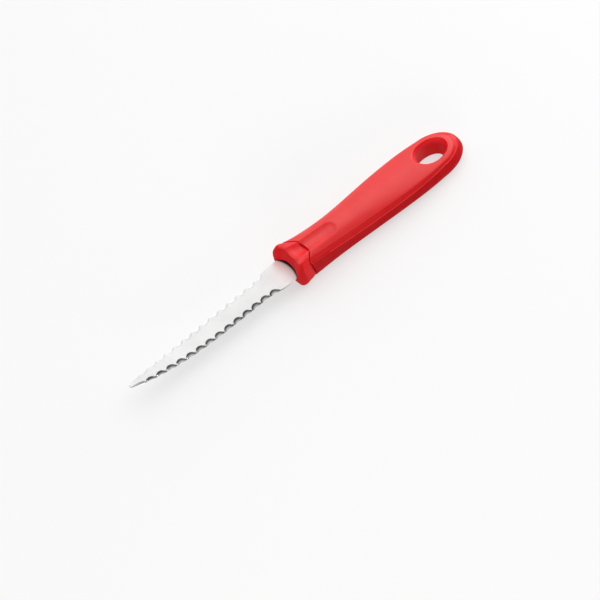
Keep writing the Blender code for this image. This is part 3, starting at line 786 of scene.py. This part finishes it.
def lip(column):
    """Roundness of the collar's front edge and how far it reaches back, smaller on top."""
    side = ease(share(column, LIP_SIDE_START * DOME_COUNT, DOME_COUNT))
    return mix(LIP_RADIUS, LIP_SIDE_RADIUS, side), mix(LIP_LENGTH, LIP_SIDE_LENGTH, side)


def front_ring(inward, behind):
    """Ring near the collar's front edge, given in shares of the edge's roundness and length."""
    def point(k, side):
        radius, length = lip(k)
        inset = inward * radius
        place = Section(0.0, inset, outer=True).whole()[k]
        return surface_point(k, side, front_x(place.x, place.z) + behind * length, inset, True)
    return ring(point)


def mouth(name, material, start, end):
    """Closed shape that hollows the collar's mouth in an arch over the blade."""
    rings = []
    for x in (start, end):
        outline = [Vector((x, MOUTH_HALF_WIDTH, 0.0)), Vector((x, -MOUTH_HALF_WIDTH, 0.0))]
        for step in parts(TURN_COUNT):
            part = mix(-1.0, 1.0, step)
            height = CLEARANCE + MOUTH_RISE * (1.0 - part ** 2)
            outline.append(Vector((x, part * MOUTH_HALF_WIDTH, height)))
        rings.append(outline)
    return closed(name, material, rings)


def make_collar(material, front_painted_shade_material, seam_painted_light_material, flank_painted_light_material):
    """Collar with its grooved spigot, cut through for the tang."""
    front = Section(0.0).whole()
    seam = Section(SEAM_X).whole()
    edge = front_ring(1.0, 0.0)
    middle = Vector((0.0, 0.0, -BLADE_THICKNESS / 2.0))
    rings = []
    for part in parts(FACE_COUNT)[1:]:
        inner = []
        for point in edge:
            spot = middle.lerp(Vector((0.0, point.y, point.z)), part)
            spot.x = front_x(spot.y, spot.z)
            inner.append(spot)
        rings.append(inner)
    for turn in quarter_turns(LIP_COUNT):
        rings.append(front_ring(1.0 - math.sin(turn), 1.0 - math.cos(turn)))

    def skin(part, back):
        def point(k, side):
            start = front_x(front[k].x, front[k].z) + lip(k)[1]
            edge = seam_x(seam[k].x, seam[k].z, side)
            if k < UPPER_LAST:
                edge -= SEAM_WIDEN * recess_share(edge, side * seam[k].x)
            spot = surface_point(k, side, mix(start, edge - back, part))
            step = COLLAR_STEP * ease(share(spot.x, edge - COLLAR_STEP_RUN, edge))
            spot.z -= sink(k, spot, edge) + step * share(k, UPPER_LAST, DOME_COUNT)
            spot.y -= side * step * seam[k].x / seam[UPPER_LAST].x
            return spot
        return ring(point)

    back = CLEARANCE / 2.0 + SEAM_ROUND
    rings += [skin(part, back) for part in parts(SKIN_COUNT)[1:-1]]
    before = skin(1.0, back)
    spigot = WALL + CLEARANCE
    groove = spigot + GROOVE_DEPTH
    root = ring(lambda k, side: surface_point(
        k, side, seam_x(seam[k].x, seam[k].z, side) - CLEARANCE / 2.0, spigot))
    arcs = []
    for first, corner, inner in zip(before, skin(1.0, CLEARANCE / 2.0), root):
        arcs.append(corner_arc(first, corner, corner + (inner - corner).normalized() * SEAM_ROUND))
    seam_start = len(rings)
    rings += [list(line) for line in zip(*arcs)]
    rings.append(root)
    for x, inset in ((GROOVE_START, spigot), (GROOVE_START, groove), (GROOVE_END, groove),
                     (GROOVE_END, spigot), (SPIGOT_END, spigot)):
        rings.append(section_ring(x, inset))
    surface = Surface()
    for i, (first, second) in enumerate(zip(rings, rings[1:])):
        # the front face gets the darker red, painted shade; the flank and the seam's groove get lighter
        # reds, painted light
        slots = [FLANK_PAINTED_LIGHT_SLOT if i >= FLANK_RINGS else FRONT_PAINTED_SHADE_SLOT] * len(first)
        if i >= FRONT_RINGS:
            slots[:TOP_COLUMNS] = [TOP_SLOT] * TOP_COLUMNS
            slots[-TOP_COLUMNS:] = [TOP_SLOT] * TOP_COLUMNS
        if seam_start < i <= seam_start + ROUND_COUNT:
            slots = [SEAM_PAINTED_LIGHT_SLOT] * len(first)
        surface.loop_strip(first, second, slots)
    surface.cap(rings[0], Vector((front_x(0.0, middle.z), 0.0, middle.z)), FRONT_PAINTED_SHADE_SLOT)
    surface.cap(rings[-1], Vector((SPIGOT_END, 0.0, middle.z)))
    collar = surface.finish("knife_collar", [material, front_painted_shade_material, seam_painted_light_material, flank_painted_light_material])
    top = CLEARANCE
    bottom = -BLADE_THICKNESS - CLEARANCE
    tang = TANG_HALF_WIDTH + CLEARANCE
    wide = SHOULDER_HALF_WIDTH + CLEARANCE
    depth = SHOULDER_DEPTH + BLADE_THICKNESS + CLEARANCE
    ahead = -MOUTH_LEAD * FRONT_SET
    cuts = [
        mouth("mouth", front_painted_shade_material, ahead, MOUTH_DEPTH),
        block("shoulder_slot", front_painted_shade_material, (ahead, -wide, bottom), (depth, wide, top)),
        block("tang_slot", material, (0.0, -tang, bottom), (2.0 * SPIGOT_END, tang, top)),
    ]
    carve(collar, [(cut, "DIFFERENCE") for cut in cuts])
    return collar


# Half-shells


class Rim:
    """Outline of the hanging hole on one face: the ellipse where the outer surface ends."""

    def __init__(self, x, half_length, half_width):
        self.x = x
        self.half_length = half_length
        self.half_width = half_width

    def start(self):
        return self.x - self.half_length

    def reach_share(self, x, along, across):
        """Share of a step (along, across) from the centre line at x that meets the ellipse."""
        first = (x - self.x) / self.half_length
        run = along / self.half_length
        width = across / self.half_width
        square = run ** 2 + width ** 2
        root = (first * run) ** 2 - square * (first ** 2 - 1.0)
        return (math.sqrt(max(0.0, root)) - first * run) / square

    def turn(self, point):
        """Angle of a point round the ellipse."""
        return math.atan2(point.y / self.half_width, (point.x - self.x) / self.half_length)

    def drop(self, point):
        """How far the surface rolls down towards the rim."""
        along = (point.x - self.x) / self.half_length
        across = point.y / self.half_width
        level = math.hypot(along, across)
        if level < RIM_NEAR:
            return 0.0
        steepness = math.hypot(along / self.half_length, across / self.half_width) / level
        left = max(0.0, RIM_ROUND - (level - 1.0) / steepness)
        return RIM_FALL * left ** 2 / (2.0 * RIM_ROUND)

    def point(self, turn, height):
        along = self.half_length * math.cos(turn)
        return Vector((self.x + along, self.half_width * math.sin(turn), height))


UPPER_RIM = Rim(RIM_X, RIM_HALF_LENGTH, RIM_HALF_WIDTH)
THROAT = Rim(HOLE_X, THROAT_HALF_LENGTH, THROAT_HALF_WIDTH)
LOWER_RIM = Rim(HOLE_X, FOOT_HOLE_HALF_LENGTH, FOOT_HOLE_HALF_WIDTH)


class Row:
    """One half section of a shell: a straight one at x, or one of the fan at the round end."""

    def __init__(self, x, turn, side, upper, lead=None):
        self.x = x
        self.turn = turn
        self.side = side
        self.upper = upper
        self.lead = lead
        rim = UPPER_RIM if upper else LOWER_RIM
        self.at_hole = x > rim.start() - TOUCH
        section = Section(x, step=0.0 if upper else PARTING_STEP)
        edge = section.crease_point() if upper else section.lower()[FOOT_BEFORE_LAST]
        step = self.step(edge, 0 if upper else FOOT_BEFORE_LAST)
        part = rim.reach_share(x, *step) if self.at_hole else 0.0
        self.points = section.upper(part) if upper else section.lower((part * edge.x, part * edge.y))

    def step(self, point, column):
        """Step from the centre line to a point of the section."""
        power = 2.0 / end_power(column, self.upper)
        along = math.sin(self.turn) ** power if self.turn > 0.0 else 0.0
        return point.y * along, self.side * point.x * math.cos(self.turn) ** power

    def line(self):
        """Points from the top or bottom line to the ridge."""
        points = []
        for column, point in enumerate(self.points):
            if self.lead is not None:
                points.append(self.lead_point(column))
            else:
                along, across = self.step(point, column)
                points.append(Vector((self.x + along, across, point.z)))
        if not self.upper:
            return points[::-1]
        points[:-1] = [dished(point) for point in points[:-1]]
        for point in points:
            point.z -= UPPER_RIM.drop(point)
        return points

    def lead_point(self, column):
        """Point between the seam and the first straight row."""
        spot = SEAM_POINTS[self.upper][column]
        start = seam_x(spot.x, spot.z, self.side) + CLEARANCE / 2.0
        x = mix(start, self.x, self.lead)
        section = Section(x, step=0.0 if self.upper else PARTING_STEP)
        point = (section.upper() if self.upper else section.lower())[column]
        return Vector((x, self.side * point.x, point.z))


SEAM_POINTS = {True: Section(SEAM_X).upper(), False: Section(SEAM_X).lower()}


def shell_rows(upper):
    """Rows from the seam along one side, round the hole's end and back to the seam."""
    start = (UPPER_RIM if upper else LOWER_RIM).start()
    places = [(SPIGOT_END, lead) for lead in parts(LEAD_COUNT)[:-1]]
    places += [(mix(SPIGOT_END, RECESS_LENGTH, part), None) for part in parts(RECESS_COUNT)]
    places += [(mix(RECESS_LENGTH, start, math.sin(turn)), None) for turn in quarter_turns(BARREL_COUNT)]
    places += [(mix(HOLE_X, start, math.cos(turn)), None) for turn in quarter_turns(HOLE_COUNT)]
    right = [Row(x, 0.0, 1.0, upper, lead) for x, lead in places]
    left = [Row(x, 0.0, -1.0, upper, lead) for x, lead in reversed(places)]
    turns = quarter_turns(FAN_COUNT)
    right += [Row(HOLE_X, turn, 1.0, upper) for turn in turns]
    left = [Row(HOLE_X, turn, -1.0, upper) for turn in reversed(turns[:-1])] + left
    return right + left


def half_gap(upper):
    """How far one shell's parting face lies from the ridge's height."""
    return PARTING_GAP / 2.0 if upper else -PARTING_GAP / 2.0


def split_height(x, upper):
    """Height of one shell's parting face."""
    return ridge_height(x) + half_gap(upper)


def hole_wall(edge, upper):
    """Points from the rim of the hole to the parting face."""
    parting = split_height(HOLE_X, upper)
    points = []
    if upper:
        throat = THROAT.point(UPPER_RIM.turn(edge), parting)
        for down in parts(WALL_COUNT)[1:]:
            point = edge.lerp(throat, 1.0 - (1.0 - down) ** WALL_CURVE)
            point.z = mix(edge.z, parting, down)
            points.append(point)
        return points
    throat = THROAT.point(LOWER_RIM.turn(edge), parting)
    middle = Vector((HOLE_X, 0.0, edge.z))
    for turn in quarter_turns(ROUND_COUNT):
        point = edge.lerp(middle, FOOT_HOLE_ROUND * math.sin(turn) / FOOT_HOLE_HALF_LENGTH)
        point.z += FOOT_HOLE_ROUND * (1.0 - math.cos(turn))
        points.append(point)
    start = points[-1]
    return points + [start.lerp(throat, part) for part in parts(WALL_COUNT)[1:]]


def make_half(name, materials, upper):
    """Solid half of the handle behind the seam, with its half of the hanging hole."""
    lines = []
    inner = []
    walls = []
    for row in shell_rows(upper):
        line = row.line()
        line[-1].z += half_gap(upper)
        if row.at_hole:
            walls.append([line[0]] + hole_wall(line[0], upper))
            inner.append(walls[-1][-1])
        else:
            inner.append(Vector((line[0].x, 0.0, split_height(line[0].x, upper))))
        inward = Vector((inner[-1].x, inner[-1].y, line[-1].z))
        line[-1:] = rounded(line[-2], line[-1], inward, PARTING_ROUND)
        lines.append(line)
    for end, nearby in ((0, 1), (-1, -2)):
        front = []
        for corner, before in zip(lines[end], lines[nearby]):
            hub = Vector((corner.x, 0.0, split_height(corner.x, upper)))
            front.append(rounded(before, corner, hub, SEAM_ROUND))
        rows = [list(row) for row in zip(*front)]
        place = slice(0, 1) if end == 0 else slice(-1, None)
        lines[place] = rows[::-1] if end == 0 else rows
        inner[place] = [inner[end]] * len(rows)
    surface = Surface()
    # the upper shell's band gets a darker red, painted shade; the lower shell's ledge a lighter red,
    # painted highlight
    edge = TOP_COLUMNS if upper else len(lines[0]) - ROUND_COUNT - 2
    slots = [PAINTED_SHADE_AND_HIGHLIGHT_SLOT if k > edge else SHELL_SLOT for k in range(len(lines[0]))]
    for first, second in zip(lines, lines[1:]):
        surface.strip(first, second, slots)
    # the hole's wall gets a lighter red, painted light, and the upper rim the band's darker red, painted
    # shade
    slots = [PAINTED_SHADE_AND_HIGHLIGHT_SLOT if upper and k < RIM_ROWS else HOLE_PAINTED_LIGHT_SLOT for k in range(len(walls[0]))]
    for first, second in zip(walls, walls[1:]):
        surface.strip(first, second, slots)
    first_full = ROUND_COUNT + LEAD_COUNT
    last = len(lines) - 1
    for i in range(first_full + 1, last - 1 - first_full):
        surface.face((lines[i][-1], inner[i], inner[i + 1], lines[i + 1][-1]), PAINTED_SHADE_AND_HIGHLIGHT_SLOT)
    for order in (range(first_full + 2), range(last, last - first_full - 2, -1)):
        front = lines[order[0]]
        count = len(front) - 1
        floors = []
        for i in order[:-1]:
            end = lines[i][-1]
            lead = share(lines[i][0].x, front[0].x, SPIGOT_END)
            floor = []
            for k, point in enumerate(front[:-1]):
                x = mix(point.x, SPIGOT_END, lead)
                floor.append(Vector((x, end.y * k / count, split_height(x, upper))))
            floors.append(floor + [end])
        surface.strip(front, floors[0])
        for first, second in zip(floors, floors[1:]):
            surface.strip(first, second)
        end = lines[order[-1]][-1]
        for first, second in zip(floors[-1], floors[-1][1:]):
            surface.face((first, second, end))
        surface.face((floors[-1][0], end, inner[order[-1]]))
    return surface.finish(name, materials)


def make_cavity(name, material):
    """Inner space of the handle, with the rib that drops into the collar's groove."""
    rib = WALL + GROOVE_DEPTH
    rib_start = GROOVE_START + CLEARANCE
    rib_end = GROOVE_END - CLEARANCE
    stations = [(mix(0.0, rib_start, part), WALL) for part in parts(CAVITY_COUNT)]
    stations += [(rib_start, rib), (rib_end, rib)]
    stations += [(mix(rib_end, CAVITY_END, part), WALL) for part in parts(CAVITY_COUNT)]
    return closed(name, material, [section_ring(x, inset) for x, inset in stations])


def boss(place):
    """Outline of a boss under the upper shell's roof, bored for a pin."""
    roof = WALL / 2.0 + min(Section(place - BOSS_RADIUS, WALL).upper()[0].z,
                            Section(place + BOSS_RADIUS, WALL).upper()[0].z)
    return [(BOSS_RADIUS, roof), (BOSS_RADIUS, CLEARANCE), (TANG_HOLE_RADIUS, CLEARANCE),
            (TANG_HOLE_RADIUS, PIN_HEIGHT + CLEARANCE)]


def post(place):
    """Outline of a post on the lower shell's floor, the same at each place, with its pin."""
    seat = -BLADE_THICKNESS - CLEARANCE
    pin = TANG_HOLE_RADIUS - CLEARANCE
    return [(pin, PIN_HEIGHT), (pin, seat), (POST_RADIUS, seat), (POST_RADIUS, WALL / 2.0 - FOOT_DEPTH)]


def make_shell(name, materials, upper, stud):
    """Hollow half of the handle, with two studs that hold the tang."""
    shell = make_half(name, materials, upper)
    steps = [(make_cavity("cavity", materials[0]), "DIFFERENCE")]
    for i, place in enumerate(POST_PLACES):
        solid = turned(f"stud_{i}", materials[0], stud(place), Vector((place, 0.0, 0.0)))
        steps.append((solid, "UNION"))
    carve(shell, steps)
    return shell


# Materials


class Nodes:
    """Short way to add and link the nodes of a material or of the surround."""

    def __init__(self, owner):
        owner.use_nodes = True
        self.tree = owner.node_tree
        self.link = self.tree.links.new

    def add(self, kind, **values):
        node = self.tree.nodes.new(kind)
        for key, value in values.items():
            if hasattr(node, key):
                setattr(node, key, value)
            else:
                node.inputs[key.replace("_", " ")].default_value = value
        return node

    def calculate(self, operation, *values):
        """Result of a sum on sockets and plain numbers."""
        node = self.add("ShaderNodeMath", operation=operation)
        for target, value in zip(node.inputs, values):
            if isinstance(value, bpy.types.NodeSocket):
                self.link(value, target)
            else:
                target.default_value = value
        return node.outputs["Value"]

    def noise(self, scale, detail, stretch=(1.0, 1.0, 1.0)):
        """Noise in the piece's own space; scale counts cells per metre."""
        place = self.add("ShaderNodeTexCoord")
        mapping = self.add("ShaderNodeMapping", Scale=stretch)
        noise = self.add("ShaderNodeTexNoise", Scale=scale, Detail=detail)
        self.link(place.outputs["Object"], mapping.inputs["Vector"])
        self.link(mapping.outputs["Vector"], noise.inputs["Vector"])
        return noise.outputs["Fac"]

    def between(self, source, low, high, start=NOISE_LOW, end=NOISE_HIGH, curve="LINEAR"):
        """Maps a value from start..end to low..high."""
        node = self.add("ShaderNodeMapRange", interpolation_type=curve, From_Min=start, From_Max=end,
                        To_Min=low, To_Max=high)
        self.link(source, node.inputs["Value"])
        return node.outputs["Result"]

    def colours(self, source, low, high):
        """Colour ramp between two colours."""
        node = self.add("ShaderNodeValToRGB")
        for stop, place, colour in zip(node.color_ramp.elements, (NOISE_LOW, NOISE_HIGH), (low, high)):
            stop.position = place
            stop.color = (*colour, 1.0)
        self.link(source, node.inputs["Fac"])
        return node.outputs["Color"]

    def worn_edges(self, patches):
        """Share of wear along outer edges, uneven as the patches are."""
        shape = self.add("ShaderNodeNewGeometry")
        edge = self.between(shape.outputs["Pointiness"], 0.0, 1.0, WEAR_START, WEAR_FULL)
        return self.calculate("MULTIPLY", edge, self.between(patches, WEAR_LOW, WEAR_HIGH))

    def blend(self, part, first, colour):
        """First colour, changed to a plain colour by a share."""
        node = self.add("ShaderNodeMix", data_type="RGBA")
        self.link(part, node.inputs[MIX_SHARE])
        self.link(first, node.inputs[MIX_FIRST])
        node.inputs[MIX_SECOND].default_value = (*colour, 1.0)
        return node.outputs[MIX_RESULT]

    def bump(self, source, distance, strength, under=None):
        """Bumps of a height, on top of others where there are any."""
        node = self.add("ShaderNodeBump", Strength=strength, Distance=distance)
        self.link(source, node.inputs["Height"])
        if under is not None:
            self.link(under, node.inputs["Normal"])
        return node.outputs["Normal"]


def new_material(name):
    """New material, its nodes and its shader's sockets."""
    material = bpy.data.materials.new(name)
    made = Nodes(material)
    return material, made, made.tree.nodes["Principled BSDF"].inputs


def painted_collar_light_and_shade(made, colour):
    """Steel with painted light, paler near the collar where the collar's shade falls, and painted shade,
    dark from an arc in the mouth inwards.
    """
    place = made.add("ShaderNodeTexCoord")
    split = made.add("ShaderNodeSeparateXYZ")
    made.link(place.outputs["Object"], split.inputs["Vector"])
    along = split.outputs["X"]
    across = split.outputs["Y"]
    square = made.calculate("MULTIPLY", across, across)
    arc = made.calculate("MULTIPLY_ADD", square, MOUTH_SHADE_BEND, along)
    front = knife_origin().x
    # painted light: the steel turns paler over the last stretch before the collar
    painted_light_share = made.between(along, 0.0, 1.0, front - PAINTED_LIGHT_LENGTH, front)
    painted_light_colour = made.blend(painted_light_share, colour, PAINTED_LIGHT_STEEL)
    # painted shade: the steel turns dark from an arc inside the mouth
    start = front + MOUTH_SHADE_START
    painted_shade_share = made.between(arc, 0.0, 1.0, start, start + MOUTH_SHADE_RUN)
    return made.blend(painted_shade_share, painted_light_colour, PAINTED_SHADE_STEEL)


def steel_material(name, low, high, rough_low, rough_high, stretch, metal):
    """Stainless steel with fine lines left by its finishing, and with painted light and painted shade
    near the collar.
    """
    material, made, shader = new_material(name)
    shader["Metallic"].default_value = metal
    lines = made.noise(1.0, HIGH_DETAIL, stretch)
    cloud = made.noise(STEEL_CLOUD, EVEN_DETAIL)
    made.link(painted_collar_light_and_shade(made, made.colours(cloud, low, high)), shader["Base Color"])
    made.link(made.between(lines, rough_low, rough_high), shader["Roughness"])
    made.link(made.bump(lines, STEEL_LINE_DEPTH, STEEL_LINE_STRENGTH), shader["Normal"])
    return material


def plastic_material(name, low, high, rough_low, rough_high, gloss):
    """Moulded plastic with a fine eroded grain, uneven gloss and worn edges."""
    material, made, shader = new_material(name)
    shader["Metallic"].default_value = 0.0
    shader["Specular IOR Level"].default_value = gloss
    cloud = made.noise(PLASTIC_CLOUD, HIGH_DETAIL)
    grain = made.noise(PLASTIC_GRAIN, LOW_DETAIL)
    patches = made.noise(PLASTIC_PATCHES, EVEN_DETAIL)
    worn = made.blend(made.worn_edges(patches), made.colours(cloud, low, high), WORN_RED)
    made.link(worn, shader["Base Color"])
    made.link(made.between(patches, rough_low, rough_high), shader["Roughness"])
    soft = made.bump(patches, PATCH_DEPTH, PATCH_STRENGTH)
    made.link(made.bump(grain, GRAIN_DEPTH, GRAIN_STRENGTH, soft), shader["Normal"])
    return material


# Stage


def make_floor():
    """Pale floor that shows the shadow."""
    data = bpy.data.meshes.new("floor")
    corners = [(x * FLOOR_HALF, y * FLOOR_HALF, 0.0) for x, y in ((-1, -1), (1, -1), (1, 1), (-1, 1))]
    data.from_pydata(corners, [], [(0, 1, 2, 3)])
    item = add_object("floor", data)
    material, made, shader = new_material("floor_paint")
    shader["Base Color"].default_value = FLOOR_GREY
    shader["Roughness"].default_value = FLOOR_ROUGHNESS
    shader["Specular IOR Level"].default_value = 0.0
    shader["Emission Color"].default_value = (1.0, 1.0, 1.0, 1.0)
    rays = made.add("ShaderNodeLightPath").outputs
    mirrored = made.calculate("MAXIMUM", rays["Is Glossy Ray"], rays["Is Transmission Ray"])
    seen = made.calculate("MAXIMUM", rays["Is Camera Ray"], mirrored)
    made.link(made.calculate("MULTIPLY", seen, FLOOR_GLOW), shader["Emission Strength"])
    data.materials.append(material)


def make_world():
    """Soft studio surround, bright behind and above, dim in front."""
    world = bpy.data.worlds.new("studio")
    bpy.context.scene.world = world
    made = Nodes(world)
    background = made.tree.nodes["Background"].inputs
    background["Color"].default_value = (1.0, 1.0, 1.0, 1.0)
    place = made.add("ShaderNodeTexCoord")
    facing = made.add("ShaderNodeVectorMath", operation="DOT_PRODUCT")
    facing.inputs[1].default_value = Vector(SURROUND_TOWARDS).normalized()
    made.link(place.outputs["Generated"], facing.inputs[0])
    level = made.between(facing.outputs["Value"], SURROUND_DIM, SURROUND_BRIGHT,
                         SURROUND_START, SURROUND_END, "SMOOTHSTEP")
    made.link(level, background["Strength"])


def make_camera():
    """Camera at the photograph's angle, for a square frame of 600 pixels."""
    flat = math.cos(CAMERA_ELEVATION)
    back = Vector((math.sin(CAMERA_AZIMUTH) * flat, -math.cos(CAMERA_AZIMUTH) * flat,
                   math.sin(CAMERA_ELEVATION)))
    right = Vector((math.cos(CAMERA_AZIMUTH), math.sin(CAMERA_AZIMUTH), 0.0))
    up = back.cross(right)
    data = bpy.data.cameras.new("camera")
    data.sensor_width = SENSOR_WIDTH
    data.lens = LENS
    data.clip_start = CLIP_START
    data.clip_end = CLIP_END
    item = add_object("camera", data)
    spot = knife_origin() + back * CAMERA_DISTANCE + right * CAMERA_RIGHT - up * CAMERA_DOWN
    turn = Matrix((right, up, back)).transposed().to_4x4()
    item.matrix_world = Matrix.Translation(spot) @ turn
    bpy.context.scene.camera = item


def make_lamp(name, place, width, height, watts):
    """Soft lamp that faces the knife."""
    data = bpy.data.lights.new(name, "AREA")
    data.shape = "RECTANGLE"
    data.size = width
    data.size_y = height
    data.energy = watts
    item = add_object(name, data)
    item.location = place
    item.rotation_mode = "QUATERNION"
    item.rotation_quaternion = item.location.to_track_quat("Z", "Y")


def dress(item, node):
    """Puts a finished piece in place of its CAD node."""
    item.data.transform(Matrix.Translation(knife_origin()))
    item.data.shade_smooth()
    item.data.set_sharp_from_angle(angle=SHARP_ANGLE)
    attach(item, BODY)
    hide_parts(node)


def main():
    """Makes the pieces, then the floor, the light and the camera."""
    steel = {name: steel_material(name, *values) for name, values in STEELS.items()}
    red = {name: plastic_material(name, *values) for name, values in REDS.items()}
    blade = make_blade(steel["blade_steel"], steel["facet_painted_shade_steel"], steel["facet_painted_light_steel"])
    dress(blade, "blade")
    collar = make_collar(red["collar_red"], red["front_painted_shade_red"], red["seam_painted_light_red"], red["flank_painted_light_red"])
    dress(collar, "collar")
    upper_reds = [red["upper_red"], red["band_painted_shade_red"], red["hole_painted_light_red"]]
    upper = make_shell("handle_upper", upper_reds, True, boss)
    dress(upper, "upper_handle_shell")
    lower_reds = [red["lower_red"], red["ledge_painted_highlight_red"], red["hole_painted_light_red"]]
    lower = make_shell("handle_lower", lower_reds, False, post)
    dress(lower, "lower_handle_shell")
    make_floor()
    make_world()
    for name, values in LAMPS.items():
        make_lamp(name, *values)
    make_camera()
    bpy.context.scene.view_settings.view_transform = "Standard"


main()
